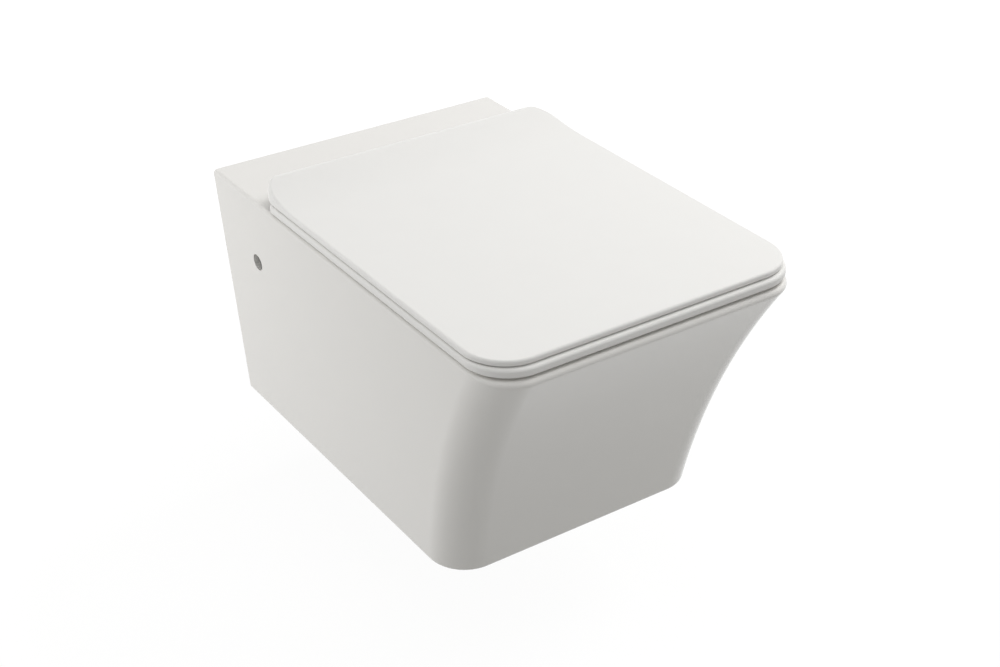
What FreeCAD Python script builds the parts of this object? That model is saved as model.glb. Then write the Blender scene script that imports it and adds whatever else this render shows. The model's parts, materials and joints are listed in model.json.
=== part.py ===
import FreeCAD, Part
import math
import os

from FreeCAD import Vector

# Wall hung toilet in millimetres. The wall is the plane Y = 0, the pan stands out towards -Y and +Z is up.
# The origin is the middle of the two wall studs. Left is -X, as seen from the front.

# Pan outline
DECK_WIDTH = 360.0
BASE_WIDTH = 316.0
RIM_PROJECTION = 547.0
BASE_PROJECTION = 434.0
PAN_HEIGHT = 287.0
DECK_HEIGHT = 80.0
FRONT_HOLLOW = 16.0
CORNER_RADIUS = 43.0
DECK_EDGE_RADIUS = 4.5
BASE_EDGE_RADIUS = 5.0
WALL = 10.0
DECK_THICKNESS = 14.0
HOLLOW_REACH = 470.0

# Bowl and trapway
BOWL_WALL = 9.0
BOWL_WIDTH = 262.0
BOWL_SETBACK = 190.0
BOWL_FRONT_MARGIN = 45.0
BOWL_FRONT_FLAT = 19.0
BOWL_REAR_FLAT = 59.0
BOWL_LIP_RADIUS = 6.0
SHELF_DEPTH = 56.0
SHELF_WIDTH = 12.0
WAIST_DEPTH = 125.0
WAIST_WIDTH = 196.0
WAIST_SETBACK = 226.0
WAIST_FRONT_STEP = 46.0
WELL_DEPTH = 190.0
WELL_WIDTH = 128.0
WELL_SETBACK = 250.0
WELL_REACH = 392.0
SUMP_DEPTH = 247.0
SUMP_WIDTH = 86.0
SUMP_SETBACK = 262.0
SUMP_REACH = 352.0
SUMP_CORNER = 36.0
TRAP_RADIUS = 27.0
TRAP_WALL = 9.0
TRAP_BEND = 42.0
TRAP_RISE = 70.0
TRAP_FALL = 60.0
WATER_SEAL = 50.0
SUMP_STEP = 2.0

# Waste spigot and flush inlet
STUD_TO_OUTLET = 100.0
SPIGOT_RADIUS = 51.0
SPIGOT_BORE_RADIUS = 42.0
SPIGOT_LENGTH = 50.0
SPIGOT_RECESS = 18.0
SPIGOT_TAPER = 16.0
OUTLET_TO_INLET = 135.0
INLET_SOCKET_RADIUS = 27.5
INLET_SOCKET_DEPTH = 40.0
INLET_RECESS = 35.0
INLET_WALL = 9.0
FLUSH_CHANNEL_RADIUS = 21.0
FLUSH_SLOT_WIDTH = 76.0
FLUSH_SLOT_HEIGHT = 26.0
FLUSH_SLOT_REACH = 24.0
SEAL_BORE_RADIUS = 22.2
SEAL_FLANGE_RADIUS = 30.0
SEAL_FLANGE = 4.0
SEAL_LENGTH = 34.0

# Wall fixing
STUD_SPACING = 180.0
STUD_HOLE_RADIUS = 6.5
SIDE_HOLE_SETBACK = 80.0
SIDE_HOLE_RADIUS = 9.5
SIDE_HOLE_DEPTH = 12.0
SIDE_BOSS_RADIUS = 16.0
SIDE_BOSS_DEPTH = 9.0
BRACKET_HEIGHT = 36.0
BRACKET_WIDTH = 38.0
BRACKET_DEPTH = 104.0
BRACKET_FLOOR = 26.0
BRACKET_ARM = 34.0
BRACKET_GUSSET = 18.0
BRACKET_EDGE = 2.0
NUT_POCKET_RADIUS = 14.5
SHELF_THICKNESS = 10.0
SHELF_INNER_EDGE = 66.0
SHELF_REAR_GAP = 5.0
SIDE_SCREW_RADIUS = 4.0
SIDE_SCREW_LENGTH = 34.0
SIDE_HEAD_RADIUS = 6.4
SIDE_HEAD = 5.0
SIDE_KEY_ACROSS = 6.0
SIDE_KEY_DEPTH = 3.0
SLEEVE_WALL = 0.9
SLEEVE_FLANGE = 1.5
INSERT_RADIUS = 6.5
INSERT_LENGTH = 26.0
STUD_NUT_RADIUS = 6.05
STUD_NUT_ACROSS = 19.0
STUD_NUT_HEIGHT = 10.0
WASHER_RADIUS = 12.0
WASHER_THICKNESS = 2.5

# Seat ring
SEAT_LIFT = 2.7
SEAT_THICKNESS = 9.0
SEAT_OVERHANG = 0.5
SEAT_FRONT_INSET = 6.5
SEAT_SETBACK = 124.0
SEAT_CORNER = 46.0
SEAT_REAR_CORNER = 12.0
SEAT_TOP_EDGE = 3.5
SEAT_BOTTOM_EDGE = 2.0
SEAT_HOLE_SIDE_LAP = 23.0
SEAT_HOLE_REAR_LAP = 32.0
SEAT_HOLE_FRONT_LAP = 22.0
SEAT_HOLE_FRONT_FLAT = 12.0
SEAT_HOLE_REAR_FLAT = 32.0
SEAT_NECK_REACH = 24.0

# Cover
COVER_GAP = 1.2
COVER_THICKNESS = 5.8
COVER_OVERHANG = 0.0
COVER_FRONT_INSET = 11.0
COVER_CORNER = 46.0
COVER_REAR_CORNER = 44.0
COVER_TOP_EDGE = 4.4
COVER_BOTTOM_EDGE = 1.0
COVER_SHELL = 3.4
COVER_CHEEK = 5.0
COVER_SWEEP_RADIUS = 250.0
COVER_NOSE_RADIUS = 12.5
COVER_REAR_MARGIN = 0.8
LIP_RISE = 8.6
POCKET_GAP = 4.5

# Hinge
HINGE_SETBACK = 110.0
HINGE_RISE = 17.0
BARREL_RADIUS = 8.3
BARREL_LENGTH = 68.0
BARREL_GAP = 0.5
KNUCKLE_WIDTH = 15.0
DAMPER_RADIUS = 5.8
DAMPER_LENGTH = 40.0
DAMPER_SHAFT_RADIUS = 4.0
DAMPER_SHAFT_ACROSS = 6.0
DAMPER_SHAFT_SEAT = 12.0
SHAFT_ENGAGEMENT = 13.0
PIN_RADIUS = 3.0
PIN_SEAT = 20.0
POST_SPACING = 155.0
POST_SETBACK = 140.0
POST_RADIUS = 4.5
POST_NECK_RADIUS = 3.0
POST_COLLAR_RADIUS = 7.0
POST_COLLAR = 2.0
POST_HEIGHT = 11.4
POST_ROOF = 1.8
POST_TIP = 1.0
POST_THREAD_RADIUS = 4.0
POST_THREAD_TAIL = 4.0
PLATE_RADIUS = 17.0
PLATE_THICKNESS = 2.0
PLATE_EDGE = 0.8
GASKET_THICKNESS = 0.8
FOOT_SIZE = 24.0
FOOT_CORNER = 4.0
ARM_RELIEF = 5.0
ARM_TOP = 2.0
POST_HOLE_RADIUS = 7.5
BUSH_TAIL = 16.0
BUSH_SWELL = 2.0
CONE_NUT_HEIGHT = 9.0
CONE_NUT_TIP = 5.6
LATCH_WIDTH = 14.6
LATCH_HEIGHT = 4.6
LATCH_LIFT = 3.4
LATCH_TRAVEL = 1.5
LATCH_WALL = 2.6
LATCH_RECESS = 0.4
LATCH_SLOT_WALL = 1.6
LATCH_GRIP = 0.8
SPRING_LEAF = 0.4
SPRING_WIDTH = 3.6
NOTCH_CORNER = 4.0

# Buffers
SEAT_BUFFER_WIDTH = 14.0
SEAT_BUFFER_LENGTH = 30.0
SEAT_BUFFER_INSET = 2.6
SEAT_BUFFER_REAR = (28.5, 240.0)
SEAT_BUFFER_FRONT = (62.5, 49.0)
COVER_BUFFER_RADIUS = 6.0
COVER_BUFFER_INSET = 1.6
COVER_BUFFER_REAR = (30.0, 245.0)
COVER_BUFFER_FRONT = (30.0, 71.0)

# Clearances
SEATING_GAP = 0.3
RUNNING_GAP = 0.05
SLIDE_GAP = 0.2
PRESS_GAP = 0.05
CLEAR_HOLE_GAP = 0.2
NOTCH_GAP = 1.5
OVERCUT = 1.0
TOUCH = 0.01

# Places worked out from the sizes above
deck_z = DECK_HEIGHT
base_z = DECK_HEIGHT - PAN_HEIGHT
outlet_z = -STUD_TO_OUTLET
inlet_z = OUTLET_TO_INLET - STUD_TO_OUTLET
seat_bottom = deck_z + SEAT_LIFT
seat_top = seat_bottom + SEAT_THICKNESS
cover_bottom = seat_top + COVER_GAP
cover_top = cover_bottom + COVER_THICKNESS
seat_half = DECK_WIDTH / 2 + SEAT_OVERHANG
cover_half = DECK_WIDTH / 2 + COVER_OVERHANG
seat_reach = RIM_PROJECTION - SEAT_FRONT_INSET
cover_reach = RIM_PROJECTION - COVER_FRONT_INSET
bowl_reach = RIM_PROJECTION - BOWL_FRONT_MARGIN
waist_reach = bowl_reach - WAIST_FRONT_STEP
bowl_front_radius = BOWL_WIDTH / 2 - BOWL_FRONT_FLAT
bowl_rear_radius = BOWL_WIDTH / 2 - BOWL_REAR_FLAT
seat_hole_half = BOWL_WIDTH / 2 - SEAT_HOLE_SIDE_LAP
seat_hole_setback = BOWL_SETBACK + SEAT_HOLE_REAR_LAP
seat_hole_reach = bowl_reach - SEAT_HOLE_FRONT_LAP
axis_y = -HINGE_SETBACK
axis_z = deck_z + HINGE_RISE
post_y = -POST_SETBACK
plate_top = deck_z + GASKET_THICKNESS + PLATE_THICKNESS
foot_bottom = plate_top
foot_top = plate_top + POST_HEIGHT + POST_ROOF
barrel_inner = POST_SPACING / 2 - BARREL_LENGTH / 2
barrel_outer = POST_SPACING / 2 + BARREL_LENGTH / 2
foot_front = post_y - FOOT_SIZE / 2
foot_rear = post_y + FOOT_SIZE / 2
latch_bottom = plate_top + LATCH_LIFT
latch_front = foot_front + LATCH_RECESS
latch_window = POST_RADIUS + SLIDE_GAP
latch_rear = post_y + latch_window - LATCH_TRAVEL + LATCH_WALL
latch_slot_rear = foot_rear - LATCH_SLOT_WALL
bracket_end_y = -BRACKET_DEPTH
SIDES = (("left", -1), ("right", 1))


def box(x0, x1, y0, y1, z0, z1):
    """A block between two corners, given in any order."""
    low = Vector(min(x0, x1), min(y0, y1), min(z0, z1))
    return Part.makeBox(abs(x1 - x0), abs(y1 - y0), abs(z1 - z0), low)


def rod_x(radius, x0, x1, y, z):
    """A round bar along X."""
    return Part.makeCylinder(radius, abs(x1 - x0), Vector(min(x0, x1), y, z), Vector(1, 0, 0))


def rod_y(radius, y0, y1, x, z):
    """A round bar along Y."""
    return Part.makeCylinder(radius, abs(y1 - y0), Vector(x, min(y0, y1), z), Vector(0, 1, 0))


def rod_z(radius, z0, z1, x, y):
    """A round bar along Z."""
    return Part.makeCylinder(radius, abs(z1 - z0), Vector(x, y, min(z0, z1)), Vector(0, 0, 1))


def line(start, end):
    return Part.makeLine(start, end)


def arc(start, middle, end):
    return Part.Arc(start, middle, end).toShape()


def polygon(points):
    """A closed outline of straight runs."""
    return Part.makePolygon(points + points[:1])


def slab(outline, reach):
    """The solid that a closed outline sweeps along a vector."""
    return Part.Face(Part.Wire(outline)).extrude(reach)


def turned(points, place, direction):
    """A solid of revolution about an axis, from (radius, height) corners in order."""
    outline = polygon([Vector(radius, 0, height) for radius, height in points])
    body = Part.Face(outline).revolve(Vector(0, 0, 0), Vector(0, 0, 1), 360)
    spin = FreeCAD.Rotation(Vector(0, 0, 1), direction)
    body.Placement = FreeCAD.Placement(place, spin)
    return body


def hexagon_y(across, y0, y1, x, z):
    """A hexagonal bar along Y, given the distance across its flats."""
    reach = across / math.sqrt(3)
    corners = []
    for step in range(6):
        turn = math.radians(60 * step)
        corners.append(Vector(x + reach * math.cos(turn), y0, z + reach * math.sin(turn)))
    return slab(polygon(corners), Vector(0, y1 - y0, 0))


def rounded_outline(half_width, rear, front, rear_radius, front_radius, z):
    """A plan outline about X = 0 between two setbacks from the wall, with round corners."""
    y0, y1 = -rear, -front
    half = math.sqrt(0.5)
    edges = []

    def corner(x, y, radius, x_sign, y_sign, flip):
        centre = Vector(x - x_sign * radius, y - y_sign * radius, z)
        along_x = centre + Vector(x_sign * radius, 0, 0)
        along_y = centre + Vector(0, y_sign * radius, 0)
        middle = centre + Vector(x_sign * radius * half, y_sign * radius * half, 0)
        ends = (along_y, along_x) if flip else (along_x, along_y)
        return ends[0], middle, ends[1]

    corners = [
        corner(half_width, y0, rear_radius, 1, 1, True),
        corner(half_width, y1, front_radius, 1, -1, False),
        corner(-half_width, y1, front_radius, -1, -1, True),
        corner(-half_width, y0, rear_radius, -1, 1, False),
    ]
    for index, (start, middle, end) in enumerate(corners):
        edges.append(arc(start, middle, end))
        following = corners[(index + 1) % len(corners)][0]
        edges.append(line(end, following))
    return Part.Wire(edges)


def edges_at(shape, z, keep=lambda edge: True):
    """The edges that lie level at a height and pass a test."""
    found = []
    for edge in shape.Edges:
        extent = edge.BoundBox
        if abs(extent.ZMin - z) < TOUCH and abs(extent.ZMax - z) < TOUCH and keep(edge):
            found.append(edge)
    return found


def mirrored(shape):
    """The same piece on the other side of the toilet."""
    return shape.mirror(Vector(0, 0, 0), Vector(1, 0, 0))


def front_circle():
    """Centre and radius of the hollow front face in the side view, from its chord and its depth."""
    rise = PAN_HEIGHT
    run = RIM_PROJECTION - BASE_PROJECTION
    chord = math.hypot(rise, run)
    radius = (chord * chord / 4 + FRONT_HOLLOW * FRONT_HOLLOW) / (2 * FRONT_HOLLOW)
    inward_y, inward_z = rise / chord, run / chord
    back_off = radius - FRONT_HOLLOW
    centre_y = -(RIM_PROJECTION + BASE_PROJECTION) / 2 - back_off * inward_y
    centre_z = (deck_z + base_z) / 2 - back_off * inward_z
    return centre_y, centre_z, radius


def front_y(z, inset):
    """Where the front face, moved inwards, lies at a height."""
    centre_y, centre_z, radius = front_circle()
    return centre_y + math.sqrt((radius + inset) ** 2 - (z - centre_z) ** 2)


def side_x(z, inset):
    """Half the width at a height between the leaning sides, moved inwards."""
    lean = (DECK_WIDTH - BASE_WIDTH) / 2 / PAN_HEIGHT
    return BASE_WIDTH / 2 + lean * (z - base_z) - inset * math.hypot(1, lean)


def pan_form(inset, bottom, top, back):
    """The pan's outer form moved inwards: leaning sides, hollow front and round front corners."""
    middle = (bottom + top) / 2
    low = Vector(0, front_y(bottom, inset), bottom)
    high = Vector(0, front_y(top, inset), top)
    side_view = [
        line(Vector(0, back, bottom), low),
        arc(low, Vector(0, front_y(middle, inset), middle), high),
        line(high, Vector(0, back, top)),
        line(Vector(0, back, top), Vector(0, back, bottom)),
    ]
    across = slab(side_view, Vector(2 * DECK_WIDTH, 0, 0))
    across.translate(Vector(-DECK_WIDTH, 0, 0))
    low_x, high_x = side_x(bottom, inset), side_x(top, inset)
    front_view = polygon([
        Vector(-low_x, back, bottom),
        Vector(low_x, back, bottom),
        Vector(high_x, back, top),
        Vector(-high_x, back, top),
    ])
    along = slab(front_view, Vector(0, -2 * RIM_PROJECTION, 0))
    form = across.common(along)
    corners = []
    for edge in form.Edges:
        extent = edge.BoundBox
        if extent.ZMax > top - TOUCH and extent.ZMin < bottom + TOUCH and extent.YMax < back - OVERCUT:
            corners.append(edge)
    return form.makeFillet(CORNER_RADIUS - inset, corners)


def off_the_wall(edge):
    """True of an edge that isn't on the wall plane."""
    return edge.BoundBox.YMin < -TOUCH


def bowl_outlines(grow):
    """The lower bowl's plan outlines from the flush shelf down to the sump, grown by a wall."""
    shelf_radius = bowl_front_radius - SHELF_WIDTH + grow
    shelf_rear_radius = bowl_rear_radius - SHELF_WIDTH + grow
    waist = WAIST_WIDTH / 2 + grow
    well = WELL_WIDTH / 2 + grow
    sump = SUMP_WIDTH / 2 + grow
    waist_radius = (2 * bowl_front_radius + SUMP_CORNER) / 3 + grow
    well_radius = (bowl_front_radius + 2 * SUMP_CORNER) / 3 + grow - SHELF_WIDTH / 2
    return [
        rounded_outline(BOWL_WIDTH / 2 - SHELF_WIDTH + grow, BOWL_SETBACK + SHELF_WIDTH - grow,
                        bowl_reach - SHELF_WIDTH + grow, shelf_rear_radius, shelf_radius,
                        deck_z - SHELF_DEPTH),
        rounded_outline(waist, WAIST_SETBACK - grow, waist_reach + grow,
                        shelf_rear_radius, waist_radius, deck_z - WAIST_DEPTH),
        rounded_outline(well, WELL_SETBACK - grow, WELL_REACH + grow,
                        SUMP_CORNER + grow, well_radius, deck_z - WELL_DEPTH),
        rounded_outline(sump, SUMP_SETBACK - grow, SUMP_REACH + grow,
                        SUMP_CORNER + grow, SUMP_CORNER + grow, deck_z - SUMP_DEPTH - grow),
    ]


def bowl_space():
    """The open inside of the bowl: an upright rimless wall, a flush shelf and a tapering basin."""
    mouth = rounded_outline(BOWL_WIDTH / 2, BOWL_SETBACK, bowl_reach, bowl_rear_radius,
                            bowl_front_radius, deck_z - SHELF_DEPTH)
    upper = slab(mouth, Vector(0, 0, SHELF_DEPTH + WALL))
    basin = Part.makeLoft(bowl_outlines(0), True, False)
    return upper.fuse(basin)


def bowl_skin():
    """The outside of the bowl's wall, down to its underside."""
    mouth = rounded_outline(BOWL_WIDTH / 2 + BOWL_WALL, BOWL_SETBACK - BOWL_WALL, bowl_reach + BOWL_WALL,
                            bowl_rear_radius + BOWL_WALL, bowl_front_radius + BOWL_WALL,
                            deck_z - SHELF_DEPTH - BOWL_WALL)
    upper = slab(mouth, Vector(0, 0, SHELF_DEPTH + BOWL_WALL))
    basin = Part.makeLoft(bowl_outlines(BOWL_WALL), True, False)
    return upper.fuse(basin)


def trap_line():
    """The trapway's centre line: back from the sump, up over the weir and down to the spigot."""
    rise, fall, bend = math.radians(TRAP_RISE), math.radians(TRAP_FALL), TRAP_BEND
    dip_z = deck_z - SUMP_DEPTH + SUMP_STEP + TRAP_RADIUS
    crest_z = dip_z + WATER_SEAL + 2 * TRAP_RADIUS
    end_y = -SPIGOT_RECESS
    level_y = end_y - SPIGOT_LENGTH

    def on(centre, turn):
        return Vector(0, centre[0] + bend * math.sin(turn), centre[1] + bend * math.cos(turn))

    fall_centre = (level_y, outlet_z + bend)
    fall_low = on(fall_centre, math.pi + fall)
    crest_drop = (crest_z - bend + bend * math.cos(fall)) - fall_low.z
    fall_high_y = fall_low.y - crest_drop / math.tan(fall)
    crest_centre = (fall_high_y - bend * math.sin(fall), crest_z - bend)
    rise_high = on(crest_centre, -rise)
    dip_centre_z = dip_z + bend
    climb = rise_high.z - (dip_centre_z - bend * math.cos(rise))
    rise_low_y = rise_high.y - climb / math.tan(rise)
    dip_centre = (rise_low_y - bend * math.sin(rise), dip_centre_z)
    throat_y = -(SUMP_SETBACK + SUMP_REACH) / 2
    dip_start = Vector(0, dip_centre[0], dip_z)
    rise_low = on(dip_centre, math.pi - rise)
    fall_high = on(crest_centre, fall)
    level_start = Vector(0, level_y, outlet_z)
    return [
        line(Vector(0, throat_y, dip_z), dip_start),
        arc(dip_start, on(dip_centre, math.pi - rise / 2), rise_low),
        line(rise_low, rise_high),
        arc(rise_high, on(crest_centre, (fall - rise) / 2), fall_high),
        line(fall_high, fall_low),
        arc(fall_low, on(fall_centre, math.pi + fall / 2), level_start),
    ]


def trap_tube(radius):
    """A round tube along the trapway."""
    path = Part.Wire(trap_line())
    start = path.Edges[0].Vertexes[0].Point
    ring = Part.Wire(Part.Circle(start, Vector(0, 1, 0), radius).toShape())
    return path.makePipeShell([ring], True, False)


def spigot_solid():
    """The waste spigot with its swelling from the trapway."""
    end_y = -SPIGOT_RECESS
    level_y = end_y - SPIGOT_LENGTH
    shoulder = Part.makeCone(TRAP_RADIUS + TRAP_WALL, SPIGOT_RADIUS, SPIGOT_TAPER,
                             Vector(0, level_y - SPIGOT_TAPER, outlet_z), Vector(0, 1, 0))
    return shoulder.fuse(rod_y(SPIGOT_RADIUS, level_y, end_y, 0, outlet_z))


def spigot_space():
    """The spigot's bore, widening from the trapway."""
    end_y = -SPIGOT_RECESS
    level_y = end_y - SPIGOT_LENGTH
    throat = Part.makeCone(TRAP_RADIUS, SPIGOT_BORE_RADIUS, SPIGOT_TAPER,
                           Vector(0, level_y, outlet_z), Vector(0, 1, 0))
    return throat.fuse(rod_y(SPIGOT_BORE_RADIUS, level_y + SPIGOT_TAPER, end_y + WALL, 0, outlet_z))


def flush_slot(grow, front, back):
    """The wide slot that opens into the bowl, or with a wall's growth the outside of its chamber."""
    half = FLUSH_SLOT_HEIGHT / 2
    end_x = FLUSH_SLOT_WIDTH / 2 - half
    slot = box(-end_x, end_x, front, back, inlet_z - half - grow, inlet_z + half + grow)
    for sign in (-1, 1):
        slot = slot.fuse(rod_y(half + grow, front, back, sign * end_x, inlet_z))
    return slot


def flush_space():
    """The flush inlet: seal socket, round channel and the wide slot."""
    mouth_y = -INLET_RECESS
    slot_y = -BOWL_SETBACK + FLUSH_SLOT_REACH
    socket = rod_y(INLET_SOCKET_RADIUS, mouth_y - INLET_SOCKET_DEPTH, mouth_y + WALL, 0, inlet_z)
    channel = rod_y(FLUSH_CHANNEL_RADIUS, slot_y - FLUSH_CHANNEL_RADIUS / 2, mouth_y, 0, inlet_z)
    return socket.fuse(channel).fuse(flush_slot(0, -BOWL_SETBACK - BOWL_WALL, slot_y))


def flush_skin():
    """The outside of the flush inlet's tube and of the slot's chamber."""
    tube = rod_y(INLET_SOCKET_RADIUS + INLET_WALL, -BOWL_SETBACK, -INLET_RECESS, 0, inlet_z)
    return tube.fuse(flush_slot(INLET_WALL, -BOWL_SETBACK, -BOWL_SETBACK + FLUSH_SLOT_REACH + INLET_WALL))


def side_boss_face():
    """Distance from the middle to the flat inner face of the side boss."""
    return side_x(0, WALL) - SIDE_BOSS_DEPTH


def side_step():
    """Distance from the middle to the step in the side hole that the sleeve sits on."""
    return side_x(0, 0) - SIDE_HOLE_DEPTH


def service_space():
    """The hollow behind and beside the bowl, open at the back, with what stands in it left out."""
    space = pan_form(WALL, base_z + WALL, deck_z - DECK_THICKNESS, WALL)
    space = space.common(box(-DECK_WIDTH, DECK_WIDTH, -HOLLOW_REACH, WALL, base_z, deck_z))
    shelf_bottom = BRACKET_HEIGHT / 2 + SEATING_GAP
    keep = [bowl_skin(), trap_tube(TRAP_RADIUS + TRAP_WALL), spigot_solid(), flush_skin()]
    for name, sign in SIDES:
        keep.append(box(sign * SHELF_INNER_EDGE, sign * DECK_WIDTH / 2, -BOWL_SETBACK, -SHELF_REAR_GAP,
                        shelf_bottom, shelf_bottom + SHELF_THICKNESS))
        keep.append(rod_x(SIDE_BOSS_RADIUS, sign * side_boss_face(), sign * DECK_WIDTH / 2,
                          -SIDE_HOLE_SETBACK, 0))
    for solid in keep:
        space = space.cut(solid)
    return space


def pan():
    """The ceramic pan."""
    body = pan_form(0, base_z, deck_z, 0)
    body = body.makeFillet(DECK_EDGE_RADIUS, edges_at(body, deck_z, off_the_wall))
    body = body.makeFillet(BASE_EDGE_RADIUS, edges_at(body, base_z, off_the_wall))
    body = body.cut(service_space())
    body = body.cut(bowl_space())
    body = body.cut(trap_tube(TRAP_RADIUS)).cut(spigot_space()).cut(flush_space())
    for name, sign in SIDES:
        body = body.cut(rod_z(POST_HOLE_RADIUS, deck_z - 2 * DECK_THICKNESS, deck_z + WALL,
                              sign * POST_SPACING / 2, post_y))
        hole = rod_x(SIDE_HOLE_RADIUS, sign * side_step(), sign * DECK_WIDTH, -SIDE_HOLE_SETBACK, 0)
        passage = rod_x(SIDE_SCREW_RADIUS + SLEEVE_WALL + 2 * CLEAR_HOLE_GAP,
                        sign * (side_boss_face() - WALL), sign * side_step(), -SIDE_HOLE_SETBACK, 0)
        body = body.cut(hole).cut(passage)

    def on_the_mouth(edge):
        extent = edge.BoundBox
        inside = extent.XMax < BOWL_WIDTH / 2 + TOUCH and extent.XMin > -BOWL_WIDTH / 2 - TOUCH
        return inside and extent.YMax < -BOWL_SETBACK + TOUCH and extent.YMin > -bowl_reach - TOUCH

    return body.makeFillet(BOWL_LIP_RADIUS, edges_at(body, deck_z, on_the_mouth))


def fixing_bracket():
    """The right-hand bracket: a leg over the wall stud and an arm out to the side boss."""
    stud_x = STUD_SPACING / 2
    inner, outer = stud_x - BRACKET_WIDTH / 2, stud_x + BRACKET_WIDTH / 2
    reach = side_boss_face() - SEATING_GAP
    near = -SIDE_HOLE_SETBACK + BRACKET_ARM / 2
    far = -SIDE_HOLE_SETBACK - BRACKET_ARM / 2
    half = BRACKET_HEIGHT / 2
    plan = polygon([
        Vector(inner, 0, -half),
        Vector(outer, 0, -half),
        Vector(outer, near + BRACKET_GUSSET, -half),
        Vector(outer + BRACKET_GUSSET, near, -half),
        Vector(reach, near, -half),
        Vector(reach, far, -half),
        Vector(outer, bracket_end_y, -half),
        Vector(inner, bracket_end_y, -half),
    ])
    body = slab(plan, Vector(0, 0, BRACKET_HEIGHT))
    long_edges = []
    for edge in body.Edges:
        extent = edge.BoundBox
        if extent.ZLength < TOUCH and off_the_wall(edge):
            long_edges.append(edge)
    body = body.makeFillet(BRACKET_EDGE, long_edges)
    body = body.cut(rod_y(STUD_HOLE_RADIUS, -BRACKET_FLOOR - OVERCUT, OVERCUT, stud_x, 0))
    body = body.cut(rod_y(NUT_POCKET_RADIUS, bracket_end_y - OVERCUT, -BRACKET_FLOOR, stud_x, 0))
    depth = INSERT_LENGTH + SEATING_GAP
    return body.cut(rod_x(INSERT_RADIUS + PRESS_GAP, reach - depth, reach + OVERCUT, -SIDE_HOLE_SETBACK, 0))


def bracket_insert():
    """A threaded bush in the bracket's arm."""
    reach = side_boss_face() - SEATING_GAP
    bush = rod_x(INSERT_RADIUS, reach - INSERT_LENGTH, reach, -SIDE_HOLE_SETBACK, 0)
    bore = rod_x(SIDE_SCREW_RADIUS + RUNNING_GAP, reach - INSERT_LENGTH - OVERCUT, reach + OVERCUT,
                 -SIDE_HOLE_SETBACK, 0)
    return bush.cut(bore)


def side_sleeve():
    """A flanged sleeve that keeps the side screw off the ceramic."""
    step = side_step()
    bore = SIDE_SCREW_RADIUS + CLEAR_HOLE_GAP
    flange = rod_x(SIDE_HOLE_RADIUS - CLEAR_HOLE_GAP, step, step + SLEEVE_FLANGE, -SIDE_HOLE_SETBACK, 0)
    tube = rod_x(bore + SLEEVE_WALL, side_boss_face(), step, -SIDE_HOLE_SETBACK, 0)
    body = flange.fuse(tube)
    return body.cut(rod_x(bore, side_boss_face() - OVERCUT, step + SLEEVE_FLANGE + OVERCUT,
                          -SIDE_HOLE_SETBACK, 0))


def side_screw():
    """A socket head screw from the side hole into the bracket."""
    seat = side_step() + SLEEVE_FLANGE
    head = rod_x(SIDE_HEAD_RADIUS, seat, seat + SIDE_HEAD, -SIDE_HOLE_SETBACK, 0)
    shank = rod_x(SIDE_SCREW_RADIUS, seat - SIDE_SCREW_LENGTH, seat, -SIDE_HOLE_SETBACK, 0)
    key = hexagon_y(SIDE_KEY_ACROSS, 0, SIDE_KEY_DEPTH + OVERCUT, 0, 0)
    key.Placement = FreeCAD.Placement(
        Vector(seat + SIDE_HEAD - SIDE_KEY_DEPTH, -SIDE_HOLE_SETBACK, 0),
        FreeCAD.Rotation(Vector(0, 0, 1), -90))
    return head.fuse(shank).cut(key)


def stud_washer():
    """The washer under the stud nut, on the bracket's floor."""
    stud_x = STUD_SPACING / 2
    disc = rod_y(WASHER_RADIUS, -BRACKET_FLOOR - WASHER_THICKNESS, -BRACKET_FLOOR, stud_x, 0)
    return disc.cut(rod_y(STUD_HOLE_RADIUS, -BRACKET_FLOOR - WASHER_THICKNESS - OVERCUT, OVERCUT, stud_x, 0))


def stud_nut():
    """The nut that clamps the bracket to the wall stud."""
    stud_x = STUD_SPACING / 2
    seat = -BRACKET_FLOOR - WASHER_THICKNESS
    body = hexagon_y(STUD_NUT_ACROSS, seat - STUD_NUT_HEIGHT, seat, stud_x, 0)
    return body.cut(rod_y(STUD_NUT_RADIUS, seat - STUD_NUT_HEIGHT - OVERCUT, OVERCUT, stud_x, 0))


def flush_seal():
    """The rubber seal in the flush inlet, flanged at its mouth."""
    outer = INLET_SOCKET_RADIUS - PRESS_GAP
    profile = [
        (SEAL_BORE_RADIUS, 0),
        (outer, 0),
        (outer, SEAL_LENGTH),
        (SEAL_FLANGE_RADIUS, SEAL_LENGTH),
        (SEAL_FLANGE_RADIUS, SEAL_LENGTH + SEAL_FLANGE),
        (SEAL_BORE_RADIUS, SEAL_LENGTH + SEAL_FLANGE),
    ]
    return turned(profile, Vector(0, -INLET_RECESS - SEAL_LENGTH, inlet_z), Vector(0, 1, 0))


def hinge_post():
    """A post with a latch groove, a collar and a threaded tail through the deck."""
    latch_room = LATCH_HEIGHT + 2 * SLIDE_GAP
    groove = LATCH_LIFT - SLIDE_GAP
    through = GASKET_THICKNESS + PLATE_THICKNESS + DECK_THICKNESS
    tail = -through - BUSH_TAIL - CONE_NUT_HEIGHT - POST_THREAD_TAIL
    profile = [
        (0, tail),
        (POST_THREAD_RADIUS, tail),
        (POST_THREAD_RADIUS, 0),
        (POST_COLLAR_RADIUS, 0),
        (POST_COLLAR_RADIUS, POST_COLLAR),
        (POST_RADIUS, POST_COLLAR),
        (POST_RADIUS, groove),
        (POST_NECK_RADIUS, groove),
        (POST_NECK_RADIUS, groove + latch_room),
        (POST_RADIUS, groove + latch_room),
        (POST_RADIUS, POST_HEIGHT - POST_TIP),
        (POST_RADIUS - POST_TIP, POST_HEIGHT),
        (0, POST_HEIGHT),
    ]
    return turned(profile, Vector(POST_SPACING / 2, post_y, plate_top), Vector(0, 0, 1))


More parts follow.
